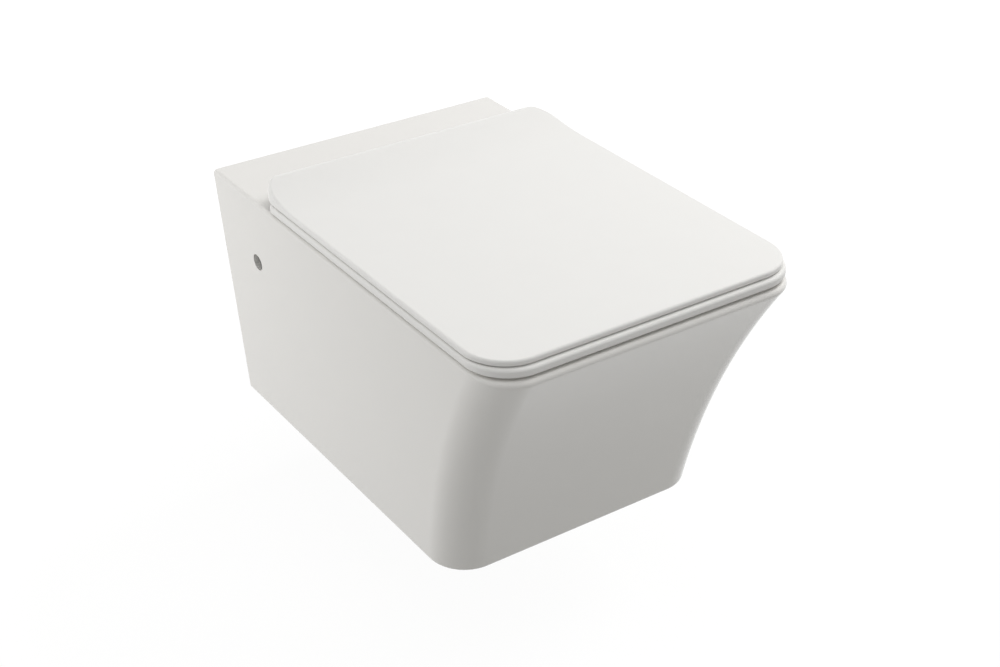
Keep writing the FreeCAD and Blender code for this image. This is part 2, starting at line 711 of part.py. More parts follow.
def hinge_plate():
    """The round base plate under a hinge block."""
    hole = POST_THREAD_RADIUS + CLEAR_HOLE_GAP
    profile = [
        (hole, 0),
        (PLATE_RADIUS, 0),
        (PLATE_RADIUS, PLATE_THICKNESS - PLATE_EDGE),
        (PLATE_RADIUS - PLATE_EDGE, PLATE_THICKNESS),
        (hole, PLATE_THICKNESS),
    ]
    return turned(profile, Vector(POST_SPACING / 2, post_y, deck_z + GASKET_THICKNESS), Vector(0, 0, 1))


def hinge_gasket():
    """The soft disc between a base plate and the deck."""
    hole = POST_THREAD_RADIUS + CLEAR_HOLE_GAP
    rim = PLATE_RADIUS - PLATE_EDGE
    profile = [(hole, 0), (rim, 0), (rim, GASKET_THICKNESS), (hole, GASKET_THICKNESS)]
    return turned(profile, Vector(POST_SPACING / 2, post_y, deck_z), Vector(0, 0, 1))


def expansion_bush():
    """The rubber bush in a deck hole, swollen under the deck where the cone nut spreads it."""
    bore = POST_THREAD_RADIUS + CLEAR_HOLE_GAP
    shank = POST_HOLE_RADIUS - CLEAR_HOLE_GAP
    under = -DECK_THICKNESS - SEATING_GAP
    tail = -DECK_THICKNESS - BUSH_TAIL
    profile = [
        (bore, tail),
        (shank, tail),
        (shank + BUSH_SWELL, (under + tail) / 2),
        (shank, under),
        (shank, 0),
        (bore, 0),
    ]
    return turned(profile, Vector(POST_SPACING / 2, post_y, deck_z), Vector(0, 0, 1))


def cone_nut():
    """The nut on a post's tail, below its bush."""
    bore = POST_THREAD_RADIUS + RUNNING_GAP
    shank = POST_HOLE_RADIUS - CLEAR_HOLE_GAP
    top = deck_z - DECK_THICKNESS - BUSH_TAIL
    profile = [
        (bore, -CONE_NUT_HEIGHT),
        (CONE_NUT_TIP, -CONE_NUT_HEIGHT),
        (shank, -CONE_NUT_HEIGHT / 2),
        (shank, 0),
        (bore, 0),
    ]
    return turned(profile, Vector(POST_SPACING / 2, post_y, top), Vector(0, 0, 1))


def hinge_block(damped_inside):
    """The right-hand hinge block: a foot over the post, an arm and a barrel for damper and pin."""
    middle = POST_SPACING / 2
    half = FOOT_SIZE / 2
    foot = box(middle - half, middle + half, foot_front, foot_rear, foot_bottom, foot_top)
    uprights = [edge for edge in foot.Edges if edge.BoundBox.ZLength > TOUCH]
    foot = foot.makeFillet(FOOT_CORNER, uprights)
    arm_half = half - FOOT_CORNER
    arm = box(middle - arm_half, middle + arm_half, foot_rear - FOOT_CORNER, axis_y,
              axis_z - ARM_RELIEF, axis_z + ARM_TOP)
    barrel = rod_x(BARREL_RADIUS, barrel_inner, barrel_outer, axis_y, axis_z)
    body = barrel.fuse(arm).fuse(foot)
    damper_end, pin_end, inward = barrel_inner, barrel_outer, 1
    if not damped_inside:
        damper_end, pin_end, inward = barrel_outer, barrel_inner, -1
    damper_depth = DAMPER_LENGTH + SEATING_GAP
    pin_depth = PIN_SEAT + SEATING_GAP
    body = body.cut(rod_x(DAMPER_RADIUS + PRESS_GAP, damper_end - inward * OVERCUT,
                          damper_end + inward * damper_depth, axis_y, axis_z))
    body = body.cut(rod_x(PIN_RADIUS + PRESS_GAP, pin_end + inward * OVERCUT,
                          pin_end - inward * pin_depth, axis_y, axis_z))
    below = foot_bottom - OVERCUT
    socket = rod_z(POST_RADIUS + RUNNING_GAP, below, foot_top - POST_ROOF + SLIDE_GAP, middle, post_y)
    collar = rod_z(POST_COLLAR_RADIUS + SLIDE_GAP, below, foot_bottom + POST_COLLAR + SLIDE_GAP,
                   middle, post_y)
    slot_half = LATCH_WIDTH / 2 + SLIDE_GAP
    slot = box(middle - slot_half, middle + slot_half, foot_front - OVERCUT, latch_slot_rear,
               latch_bottom - SLIDE_GAP, latch_bottom + LATCH_HEIGHT + SLIDE_GAP)
    return body.cut(socket).cut(collar).cut(slot)


def release_latch():
    """The sliding latch in the right-hand foot, with a long window round the post's groove."""
    middle = POST_SPACING / 2
    plate = box(middle - LATCH_WIDTH / 2, middle + LATCH_WIDTH / 2, latch_front, latch_rear,
                latch_bottom, latch_bottom + LATCH_HEIGHT)
    low, high = latch_bottom - OVERCUT, latch_bottom + LATCH_HEIGHT + OVERCUT
    window = rod_z(latch_window, low, high, middle, post_y)
    held = rod_z(latch_window, low, high, middle, post_y - LATCH_TRAVEL)
    between = box(middle - latch_window, middle + latch_window, post_y - LATCH_TRAVEL, post_y, low, high)
    window = window.fuse(between).fuse(held)
    window = window.common(box(middle - LATCH_WIDTH, middle + LATCH_WIDTH, latch_front,
                               post_y + latch_window - LATCH_TRAVEL, low, high))
    plate = plate.cut(window)
    groove_z = latch_bottom + LATCH_HEIGHT / 2
    return plate.cut(rod_x(LATCH_GRIP, middle - LATCH_WIDTH, middle + LATCH_WIDTH, latch_front, groove_z))


def latch_spring():
    """The bow spring between the right-hand latch and the back of its slot."""
    middle = POST_SPACING / 2
    near, far = latch_rear + SEATING_GAP / 3, latch_slot_rear - SEATING_GAP / 3
    half = LATCH_WIDTH / 2 - SLIDE_GAP
    low = latch_bottom + (LATCH_HEIGHT - SPRING_WIDTH) / 2
    left, right = Vector(middle - half, far, low), Vector(middle + half, far, low)
    crown = Vector(middle, near, low)
    inner_left = left + Vector(SPRING_LEAF * 2, 0, 0)
    inner_right = right - Vector(SPRING_LEAF * 2, 0, 0)
    inner_crown = crown + Vector(0, SPRING_LEAF, 0)
    bow = [
        arc(left, crown, right),
        line(right, inner_right),
        arc(inner_right, inner_crown, inner_left),
        line(inner_left, left),
    ]
    return slab(bow, Vector(0, 0, SPRING_WIDTH))


def damper(damped_inside):
    """A rotary damper's body in the right-hand barrel, with its bore for the shaft."""
    end, inward = (barrel_inner, 1) if damped_inside else (barrel_outer, -1)
    body = rod_x(DAMPER_RADIUS, end, end + inward * DAMPER_LENGTH, axis_y, axis_z)
    bore = rod_x(DAMPER_SHAFT_RADIUS + RUNNING_GAP, end - inward * OVERCUT,
                 end + inward * (DAMPER_SHAFT_SEAT + SEATING_GAP), axis_y, axis_z)
    return body.cut(bore)


def flatted_shaft(radius, across, x0, x1):
    """A round bar on the hinge axis with two flats."""
    bar = rod_x(radius, x0, x1, axis_y, axis_z)
    return bar.common(box(x0, x1, axis_y - radius - OVERCUT, axis_y + radius + OVERCUT,
                          axis_z - across / 2, axis_z + across / 2))


def damper_shaft(damped_inside):
    """A damper's shaft: round in the damper, flatted where it drives the knuckle."""
    end, inward = (barrel_inner, 1) if damped_inside else (barrel_outer, -1)
    round_end = rod_x(DAMPER_SHAFT_RADIUS, end, end + inward * DAMPER_SHAFT_SEAT, axis_y, axis_z)
    drive = flatted_shaft(DAMPER_SHAFT_RADIUS, DAMPER_SHAFT_ACROSS, end - inward * SHAFT_ENGAGEMENT, end)
    return round_end.fuse(drive)


def shaft_socket(damped_inside):
    """The flatted socket in a knuckle for the damper's shaft."""
    end, inward = (barrel_inner, 1) if damped_inside else (barrel_outer, -1)
    return flatted_shaft(DAMPER_SHAFT_RADIUS + RUNNING_GAP, DAMPER_SHAFT_ACROSS + 2 * RUNNING_GAP,
                         end - inward * (SHAFT_ENGAGEMENT + SEATING_GAP), end)


def pivot_pin(inside):
    """The plain pin on the undamped side of the right-hand barrel."""
    end, inward = (barrel_inner, 1) if inside else (barrel_outer, -1)
    return rod_x(PIN_RADIUS, end + inward * PIN_SEAT, end - inward * SHAFT_ENGAGEMENT, axis_y, axis_z)


def pin_socket(inside):
    """The running bore in a knuckle for a pivot pin."""
    end, inward = (barrel_inner, 1) if inside else (barrel_outer, -1)
    depth = SHAFT_ENGAGEMENT + SEATING_GAP
    return rod_x(PIN_RADIUS + RUNNING_GAP, end, end - inward * depth, axis_y, axis_z)


def buffer_places(half, reach, rear, front):
    """Four places: the rear pair by side inset and setback, the front pair by side and front inset."""
    places = []
    for inset, setback in (rear, (front[0], reach - front[1])):
        for name, sign in SIDES:
            places.append((sign * (half - inset), -setback))
    return places


def stadium(width, length, x, y, z0, z1):
    """An upright block with round ends, long in Y."""
    half, run = width / 2, (length - width) / 2
    body = box(x - half, x + half, y - run, y + run, z0, z1)
    for sign in (-1, 1):
        body = body.fuse(rod_z(half, z0, z1, x, y + sign * run))
    return body.removeSplitter()


def seat_buffers():
    """Rubber buffers under the seat ring."""
    pads = []
    for x, y in buffer_places(seat_half, seat_reach, SEAT_BUFFER_REAR, SEAT_BUFFER_FRONT):
        pads.append(stadium(SEAT_BUFFER_WIDTH, SEAT_BUFFER_LENGTH, x, y, deck_z + SEATING_GAP,
                            seat_bottom + SEAT_BUFFER_INSET - PRESS_GAP))
    return Part.makeCompound(pads)


def cover_buffers():
    """Rubber pads under the cover."""
    pads = []
    for x, y in buffer_places(cover_half, cover_reach, COVER_BUFFER_REAR, COVER_BUFFER_FRONT):
        pads.append(rod_z(COVER_BUFFER_RADIUS, seat_top + SEATING_GAP,
                          cover_bottom + COVER_BUFFER_INSET - PRESS_GAP, x, y))
    return Part.makeCompound(pads)


def seat_ring():
    """The seat ring with its middle knuckle and the notches that clear the hinge blocks."""
    outline = rounded_outline(seat_half, SEAT_SETBACK, seat_reach, SEAT_REAR_CORNER, SEAT_CORNER,
                              seat_bottom)
    hole = rounded_outline(seat_hole_half, seat_hole_setback, seat_hole_reach,
                           seat_hole_half - SEAT_HOLE_REAR_FLAT, seat_hole_half - SEAT_HOLE_FRONT_FLAT,
                           seat_bottom)
    up = Vector(0, 0, SEAT_THICKNESS)
    ring = slab(outline, up).cut(slab(hole, up))
    ring = ring.makeFillet(SEAT_TOP_EDGE, edges_at(ring, seat_top))
    ring = ring.makeFillet(SEAT_BOTTOM_EDGE, edges_at(ring, seat_bottom))
    notch_half = max(PLATE_RADIUS, FOOT_SIZE / 2) + NOTCH_GAP
    notch_front = post_y - notch_half
    for name, sign in SIDES:
        middle = sign * POST_SPACING / 2
        notch = box(middle - notch_half, middle + notch_half, notch_front, -SEAT_SETBACK + SEAT_REAR_CORNER,
                    seat_bottom - OVERCUT, seat_top + OVERCUT)
        uprights = []
        for edge in notch.Edges:
            if edge.BoundBox.ZLength > TOUCH and edge.BoundBox.YMax < notch_front + TOUCH:
                uprights.append(edge)
        ring = ring.cut(notch.makeFillet(NOTCH_CORNER, uprights))
    knuckle_half = barrel_inner - BARREL_GAP
    knuckle = rod_x(BARREL_RADIUS, -knuckle_half, knuckle_half, axis_y, axis_z)
    neck_top = axis_z - BARREL_GAP
    neck_front = -SEAT_SETBACK - SEAT_NECK_REACH
    neck_side = polygon([
        Vector(-knuckle_half, neck_front, seat_top - SEAT_TOP_EDGE),
        Vector(-knuckle_half, neck_front, seat_top),
        Vector(-knuckle_half, -SEAT_SETBACK, neck_top),
        Vector(-knuckle_half, axis_y, neck_top),
        Vector(-knuckle_half, axis_y, axis_z - BARREL_RADIUS),
        Vector(-knuckle_half, -SEAT_SETBACK, seat_bottom + SEAT_BOTTOM_EDGE),
        Vector(-knuckle_half, neck_front, seat_bottom + SEAT_BOTTOM_EDGE),
    ])
    neck = slab(neck_side, Vector(2 * knuckle_half, 0, 0))
    ring = ring.fuse(neck).fuse(knuckle)
    for x, y in buffer_places(seat_half, seat_reach, SEAT_BUFFER_REAR, SEAT_BUFFER_FRONT):
        ring = ring.cut(stadium(SEAT_BUFFER_WIDTH + 2 * PRESS_GAP, SEAT_BUFFER_LENGTH + 2 * PRESS_GAP, x, y,
                                seat_bottom - OVERCUT, seat_bottom + SEAT_BUFFER_INSET))
    ring = ring.cut(mirrored(shaft_socket(True))).cut(pin_socket(True))
    return ring.removeSplitter()


def sweep_place():
    """Where along Y the cover's sweep starts, so that it meets the round nose without a crease."""
    rise = cover_top + COVER_SWEEP_RADIUS - axis_z
    reach = COVER_SWEEP_RADIUS + COVER_NOSE_RADIUS
    return axis_y - math.sqrt(reach * reach - rise * rise)


def on_sweep(y, shell):
    """A point of the cover's sweep in the side view, moved inwards by a shell."""
    radius = COVER_SWEEP_RADIUS + shell
    height = cover_top + COVER_SWEEP_RADIUS
    return Vector(0, y, height - math.sqrt(radius ** 2 - (y - sweep_place()) ** 2))


def on_nose(turn, shell):
    """A point of the cover's nose in the side view, at an angle up from the rear."""
    radius = COVER_NOSE_RADIUS - shell
    return Vector(0, axis_y + radius * math.cos(turn), axis_z + radius * math.sin(turn))


def nose_start():
    """The angle at which the sweep meets the nose."""
    rise = cover_top + COVER_SWEEP_RADIUS - axis_z
    return math.atan2(rise, sweep_place() - axis_y)


def nose_drop(shell):
    """The angle below the axis at which the nose reaches the level of the cover's underside."""
    return math.asin((axis_z - cover_bottom) / (COVER_NOSE_RADIUS - shell))


def across_cover(side_view, half):
    """The solid that a side view sweeps across the cover."""
    solid = slab(side_view, Vector(2 * half, 0, 0))
    solid.translate(Vector(-half, 0, 0))
    return solid


def cover_plan(z):
    """The cover's outline seen from above."""
    rear = HINGE_SETBACK - COVER_NOSE_RADIUS - COVER_REAR_MARGIN
    return rounded_outline(cover_half, rear, cover_reach, COVER_REAR_CORNER, COVER_CORNER, z)


def cover_form():
    """The cover's outer form: flat top, upward sweep and a round nose on the hinge axis."""
    start = nose_start()
    meet = on_nose(start, 0)
    flat_end = on_sweep(sweep_place(), 0)
    half_way = on_sweep((flat_end.y + meet.y) / 2, 0)
    end = on_nose(-nose_drop(0), 0)
    front_low = Vector(0, -cover_reach - OVERCUT, cover_bottom)
    front_high = Vector(0, -cover_reach - OVERCUT, cover_top)
    side_view = [
        line(front_low, front_high),
        line(front_high, flat_end),
        arc(flat_end, half_way, meet),
        arc(meet, on_nose(start / 2, 0), end),
        line(end, front_low),
    ]
    block = slab(cover_plan(cover_bottom), Vector(0, 0, 2 * HINGE_RISE))
    form = block.common(across_cover(side_view, cover_half + OVERCUT))
    upper = []
    for edge in form.Edges:
        extent = edge.BoundBox
        crosses = extent.YLength < TOUCH and extent.YMin > -cover_reach + COVER_TOP_EDGE
        if extent.ZMin > cover_top - TOUCH and not crosses:
            upper.append(edge)
    form = form.makeFillet(COVER_TOP_EDGE, upper)
    lower = edges_at(form, cover_bottom, lambda edge: edge.BoundBox.YMin < axis_y - COVER_NOSE_RADIUS)
    form = form.makeFillet(COVER_BOTTOM_EDGE, lower)
    nose = rod_x(COVER_NOSE_RADIUS, -cover_half, cover_half, axis_y, axis_z)
    below = box(-cover_half, cover_half, -cover_reach, 0, deck_z, axis_z)
    return form.fuse(nose.common(below).common(slab(cover_plan(deck_z), Vector(0, 0, 2 * HINGE_RISE))))


def cover_pocket():
    """The hollow under the cover's hump, which takes the hinge."""
    start = nose_start()
    meet = on_nose(start, COVER_SHELL)
    front = on_sweep(foot_front - POCKET_GAP, COVER_SHELL)
    half_way = on_sweep((front.y + meet.y) / 2, COVER_SHELL)
    end = on_nose(-nose_drop(COVER_SHELL), COVER_SHELL)
    floor = cover_bottom - OVERCUT
    side_view = [
        line(Vector(0, front.y, floor), front),
        arc(front, half_way, meet),
        arc(meet, on_nose(start / 2, COVER_SHELL), end),
        line(end, Vector(0, end.y, floor)),
        line(Vector(0, end.y, floor), Vector(0, front.y, floor)),
    ]
    half = cover_half - COVER_CHEEK
    plan = rounded_outline(half, HINGE_SETBACK - COVER_NOSE_RADIUS + COVER_SHELL, cover_reach - COVER_CHEEK,
                           COVER_REAR_CORNER - COVER_CHEEK, COVER_CORNER - COVER_CHEEK, deck_z)
    return across_cover(side_view, half).common(slab(plan, Vector(0, 0, 2 * HINGE_RISE)))


def cover_knuckle(form):
    """The right-hand knuckle with the rib that joins it to the hump."""
    near = barrel_outer + BARREL_GAP
    far = near + KNUCKLE_WIDTH
    eye = rod_x(BARREL_RADIUS, near, far, axis_y, axis_z)
    rib = form.common(box(near, far, axis_y - BARREL_RADIUS, axis_y + BARREL_RADIUS, axis_z,
                          axis_z + COVER_NOSE_RADIUS))
    return eye.fuse(rib)


def cover():
    """The cover with its hump, the pocket for the hinge and two knuckles."""
    form = cover_form()
    hinge_half = barrel_outer + BARREL_GAP + KNUCKLE_WIDTH + NOTCH_GAP
    lip = box(-hinge_half, hinge_half, axis_y - COVER_NOSE_RADIUS - OVERCUT, axis_y + 2 * COVER_NOSE_RADIUS,
              deck_z, axis_z + LIP_RISE)
    body = form.cut(cover_pocket()).cut(lip)
    knuckle = cover_knuckle(form)
    body = body.fuse(knuckle).fuse(mirrored(knuckle))
    for x, y in buffer_places(cover_half, cover_reach, COVER_BUFFER_REAR, COVER_BUFFER_FRONT):
        body = body.cut(rod_z(COVER_BUFFER_RADIUS + PRESS_GAP, cover_bottom - OVERCUT,
                              cover_bottom + COVER_BUFFER_INSET, x, y))
    body = body.cut(shaft_socket(False)).cut(mirrored(pin_socket(False)))
    return body.removeSplitter()


def both_sides(shape):
    """A right-hand piece and its mirror image as one group."""
    return Part.makeCompound([mirrored(shape), shape])


def nodes():
    """Every piece by name. The seat is damped by the left block and the cover by the right one."""
    bracket = fixing_bracket()
    latch = release_latch()
    spring = latch_spring()
    return {
        "pan": pan(),
        "fixing_bracket_left": mirrored(bracket),
        "fixing_bracket_right": bracket,
        "bracket_inserts": both_sides(bracket_insert()),
        "side_sleeves": both_sides(side_sleeve()),
        "side_screws": both_sides(side_screw()),
        "stud_washers": both_sides(stud_washer()),
        "stud_nuts": both_sides(stud_nut()),
        "flush_seal": flush_seal(),
        "hinge_posts": both_sides(hinge_post()),
        "hinge_plates": both_sides(hinge_plate()),
        "hinge_gaskets": both_sides(hinge_gasket()),
        "expansion_bushes": both_sides(expansion_bush()),
        "cone_nuts": both_sides(cone_nut()),
        "hinge_block_left": mirrored(hinge_block(True)),
        "hinge_block_right": hinge_block(False),
        "release_latch_left": mirrored(latch),
        "release_latch_right": latch,
        "latch_spring_left": mirrored(spring),
        "latch_spring_right": spring,
        "seat_damper": mirrored(damper(True)),
        "seat_damper_shaft": mirrored(damper_shaft(True)),
        "cover_damper": damper(False),
        "cover_damper_shaft": damper_shaft(False),
        "seat_pivot_pin": pivot_pin(True),
        "cover_pivot_pin": mirrored(pivot_pin(False)),
        "seat_ring": seat_ring(),
        "seat_buffers": seat_buffers(),
        "cover": cover(),
        "cover_buffers": cover_buffers(),
    }


os.makedirs("parts", exist_ok=True)
for node, shape in nodes().items():
    shape.exportStep("parts/" + node + ".step")
    print(node, len(shape.Solids), "solid", round(shape.Volume / 1000, 2), "cm3", shape.isValid())
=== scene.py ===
import json
from math import acos, asin, copysign, cos, hypot, pi, radians, sin, sqrt, tan

import bmesh
import bpy
from bpy.props import FloatProperty, FloatVectorProperty, PointerProperty, StringProperty
from bpy.types import Operator, Panel, PropertyGroup
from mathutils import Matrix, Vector


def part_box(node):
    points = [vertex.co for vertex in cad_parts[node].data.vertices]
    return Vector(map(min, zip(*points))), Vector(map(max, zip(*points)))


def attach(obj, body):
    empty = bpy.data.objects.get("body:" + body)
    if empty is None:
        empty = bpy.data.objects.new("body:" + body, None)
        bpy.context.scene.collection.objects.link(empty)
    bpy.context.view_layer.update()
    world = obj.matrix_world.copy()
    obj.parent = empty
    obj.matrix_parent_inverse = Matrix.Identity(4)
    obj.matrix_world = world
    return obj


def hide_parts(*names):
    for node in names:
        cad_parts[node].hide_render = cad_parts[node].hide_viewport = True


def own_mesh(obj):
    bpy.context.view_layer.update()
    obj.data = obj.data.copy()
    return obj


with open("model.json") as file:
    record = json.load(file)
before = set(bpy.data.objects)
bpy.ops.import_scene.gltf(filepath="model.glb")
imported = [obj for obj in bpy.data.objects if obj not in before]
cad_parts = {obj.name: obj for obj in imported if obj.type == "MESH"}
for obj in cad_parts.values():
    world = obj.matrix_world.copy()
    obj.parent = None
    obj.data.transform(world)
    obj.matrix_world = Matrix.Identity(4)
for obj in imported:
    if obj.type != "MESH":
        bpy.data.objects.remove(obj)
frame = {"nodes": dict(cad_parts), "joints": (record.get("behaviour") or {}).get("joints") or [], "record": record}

bl_info = {
    "name": "Wall hung toilet",
    "version": (1, 0, 0),
    "blender": (4, 5, 0),
    "location": "View3D > Sidebar > Toilet",
    "description": "Builds the pan, seat, cover, buffers, latch springs and finishes of a wall hung toilet",
    "category": "Object",
}

# All lengths are in metres. The wall is Y = 0, the front looks to -Y and the origin is midway between the
# wall studs.
X, Y, Z = range(3)
UNITS = ((1, 0, 0), (0, 1, 0), (0, 0, 1))
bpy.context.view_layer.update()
PAN_LOW, PAN_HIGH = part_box("pan")
SEAT_LOW, SEAT_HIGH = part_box("seat_ring")
COVER_LOW, COVER_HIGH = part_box("cover")
HINGE = Vector(next(joint["pos_m"] for joint in frame["joints"] if joint["name"] == "seat_hinge"))
SIDES = (-1, 1)

# The bowl's plan at its mouth: half width, rear and front setback, rear and front corner radius. Its levels
# below the flush shelf give their depth under the deck first.
BOWL_MOUTH = (0.131, 0.190, 0.502, 0.072, 0.112)
BOWL_LEVELS = (
    (0.056, 0.119, 0.202, 0.490, 0.060, 0.100),
    (0.125, 0.098, 0.226, 0.456, 0.060, 0.087),
    (0.190, 0.064, 0.250, 0.392, 0.036, 0.055),
    (0.247, 0.043, 0.262, 0.352, 0.036, 0.036),
)
SUMP_ROUND = 0.012
SHELF_ROUND = 0.005

# Trapway, waste spigot and flush inlet
OUTLET = Vector((0.0, 0.0, -0.100))
INLET = Vector((0.0, 0.0, 0.035))
SPIGOT_RECESS = 0.018
SPIGOT_LENGTH = 0.050
SPIGOT_TAPER = 0.016
SPIGOT_RADIUS = 0.051
SPIGOT_BORE = 0.042
TRAP_BEND = 0.042
TRAP_RISE = radians(70)
TRAP_FALL = radians(60)
WATER_SEAL = 0.050
SUMP_STEP = 0.002
INLET_RECESS = 0.035
INLET_SOCKET = 0.0275
INLET_DEPTH = 0.040
INLET_WALL = 0.009
FLUSH_CHANNEL = 0.021
FLUSH_SLOT_HALF = 0.025
FLUSH_SLOT_RISE = 0.013
FLUSH_SLOT_REACH = 0.024

# Wall fixing and hinge fixing
SHELF_INNER = 0.066
SHELF_REAR = 0.005
SHELF_LOW = 0.0183
SHELF_HIGH = 0.0283
SIDE_BOSS = 0.016
SIDE_BOSS_DEPTH = 0.009
SIDE_STEP = 0.012
SIDE_PASSAGE = 0.0053
POST_X = 0.0775
POST_Y = -0.140
POST_HOLE = 0.0075

# Hinge barrels, knuckles and their shafts
BARREL = 0.0083
BARREL_INNER = 0.0435
BARREL_OUTER = 0.1115
BARREL_GAP = 0.0005
KNUCKLE = 0.015
SOCKET = 0.0133
SHAFT_RADIUS = 0.00405
SHAFT_HALF_FLAT = 0.00305
PIN_RADIUS = 0.00305

# The seat's notches for the hinge blocks and its neck, the cover's rear lip and the pocket under its hump
NOTCH_HALF = 0.0185
NOTCH_CORNER = 0.004
NECK_REACH = 0.024
NECK_SINK = 0.00005
LIP_HALF = 0.1285
LIP_RISE = 0.0086
POCKET_FRONT = -0.1565
# The most of the cover's height that one rounded edge may take, where the nose runs out at the rear
EDGE_SHARE = 0.45
# How far a cutting shape stands past the face that it cuts
OVERCUT = 0.001

# Release latches: the leaf of the bow spring behind each
SPRING_LEAF = 0.0004

# Buffers: side inset and setback of the rear pair, side inset and front inset of the front pair
SEAT_PADS = ((0.0285, 0.240), (0.0625, 0.049))
COVER_PADS = ((0.030, 0.245), (0.030, 0.071))

# Meshes: how close points are one, the least bend that shows as an edge, the steps of edges and small loops
MERGE = 1e-6
SMOOTH = radians(32)
EDGE_STEPS = 8
SMALL_LOOP = {"steps": 12, "runs": 4}

# Finishes by slot: name, colour's name and sRGB code, roughness, size and relief of the grain, unevenness,
# metallic part and IOR
FINISHES = {
    # Vitreous china under a fired glaze: a deep wet gloss with the faint waves of the run glaze
    "glazed_china": ("vitreous_china_glazed", "china", "#EBE9E5", 0.06, 0.012, 0.00002, 0.1, 0.0, 1.52),
    # Duroplast moulded in a fine tool: an even satin sheen, softer than the glaze
    "duroplast": ("duroplast_moulded_satin", "duroplast", "#ECEBE8", 0.40, 0.004, 0.000004, 0.1),
    # Glass filled nylon from an eroded tool: a dull, slightly sandy face
    "bracket_nylon": ("glass_filled_nylon_moulded", "nylon", "#D8D3C2", 0.55, 0.0012, 0.00006, 0.2),
    # Acetal moulded in a fine tool: waxy and half glossy
    "hinge_plastic": ("acetal_moulded", "acetal", "#DCDCDA", 0.42, 0.002, 0.00001, 0.1),
    # Polypropylene with a spark eroded grain, so that a finger grips it
    "latch_plastic": ("polypropylene_eroded", "latch", "#75777B", 0.50, 0.0008, 0.00005, 0.2),
    # Dark polyamide: dull, so that the damper's body recedes in the barrel
    "damper_plastic": ("polyamide_moulded", "damper", "#4A4C50", 0.45, 0.0010, 0.00003, 0.2),
    # Stainless steel off the lathe: bright, with fine uneven tool marks
    "stainless": ("stainless_steel_turned", "steel", "#C4C4C2", 0.20, 0.0006, 0.00002, 0.2, 1.0),
    # Zinc plated steel: greyer and cloudier than stainless
    "zinc_steel": ("steel_zinc_plated", "zinc", "#C9CCD0", 0.19, 0.0020, 0.00004, 0.25, 1.0),
    # Brass as turned: warm, with a slightly dulled face
    "brass": ("brass_turned", "brass", "#C8A860", 0.20, 0.0006, 0.00002, 0.2, 1.0),
    # Black rubber from a matt mould: nearly no gloss
    "black_rubber": ("epdm_rubber_moulded", "rubber", "#1E1E1F", 0.70, 0.0015, 0.00004, 0.2),
    # Grey rubber from a matt mould, pale enough to be lost against the ring
    "grey_rubber": ("tpe_rubber_moulded", "buffer", "#B9B9B6", 0.60, 0.0015, 0.00003, 0.2),
}
FINISHES["sleeve_plastic"] = FINISHES["hinge_plastic"]
# Clouds in the tint: their size in grains, and how much of the unevenness darkens it
CLOUD_GRAINS = 8
CLOUD_DEPTH = 0.2

# The studio: the floor, where its shadow shows, how white it looks and how strong the soft light is
FLOOR_PAINT = "#B6B6B4"
FLOOR_HALF = 6.0
FLOOR_THICKNESS = 0.02
FLOOR_MIDDLE = (0.0, -0.27, -0.32)
SHADOW_REACH = (0.5, 1.5)
FLOOR_GLOW = 0.85
FLOOR_WHITE = 1.11
SOFT_LIGHT = 0.30
WHITE = (1.0, 1.0, 1.0, 1.0)
# Softboxes: name, place, the point that it faces, width, height and watts
SOFTBOXES = (
    ("softbox_above", (0, -0.5, 1.7), (0, -0.27, 0), 1.8, 1.8, 9.8),
    ("softbox_left", (-1.3, 0.6, 0.2), (-0.18, -0.2, -0.05), 1.8, 0.9, 13),
    ("softbox_right", (1.9, -0.2, 1.45), (0, -0.3, 0.05), 1.2, 1.2, 33),
    ("softbox_front", (0, -1.9, 1.2), (0, -0.45, -0.1), 1.2, 1.2, 4),
)


def length(label, words, metres):
    """A size that a user can change."""
    return FloatProperty(name=label, description=words, default=metres, unit="LENGTH", precision=4)


class PanSizes(PropertyGroup):
    """The ceramic pan's sizes."""
    deck_width: length("Deck width", "Width of the pan at its flat top", 0.360)
    base_width: length("Base width", "Width of the pan at its underside", 0.316)
    rim_projection: length("Rim projection", "How far the deck's plane reaches from the wall", 0.547)
    base_projection: length("Base projection", "How far the underside reaches from the wall", 0.434)
    height: length("Height", "From the underside to the deck", PAN_HIGH.z - PAN_LOW.z)
    front_hollow: length("Front hollow", "Depth of the front face's hollow curve", 0.016)
    corner: length("Corner radius", "Rounding of the two front corners", 0.043)
    deck_edge: length("Deck edge", "Rounding of the edge round the deck", 0.0045)
    base_edge: length("Base edge", "Rounding of the edge round the underside", 0.005)
    wall: length("Wall", "Thickness of the outer wall", 0.010)
    deck_thickness: length("Deck thickness", "Thickness of the deck", 0.014)
    hollow_reach: length("Hollow reach", "How far the hollow inside reaches from the wall", 0.470)
    bowl_wall: length("Bowl wall", "Thickness of the bowl's wall", 0.009)
    bowl_lip: length("Bowl lip", "Rounding of the bowl's edge in the deck", 0.006)
    trap_bore: length("Trap bore", "Radius of the trapway", 0.027)
    trap_wall: length("Trap wall", "Thickness of the trapway's wall", 0.009)
    side_hole: length("Side hole", "Radius of the fixing hole in each side", 0.0095)
    side_hole_setback: length("Side hole setback", "From the wall to the side hole", 0.080)


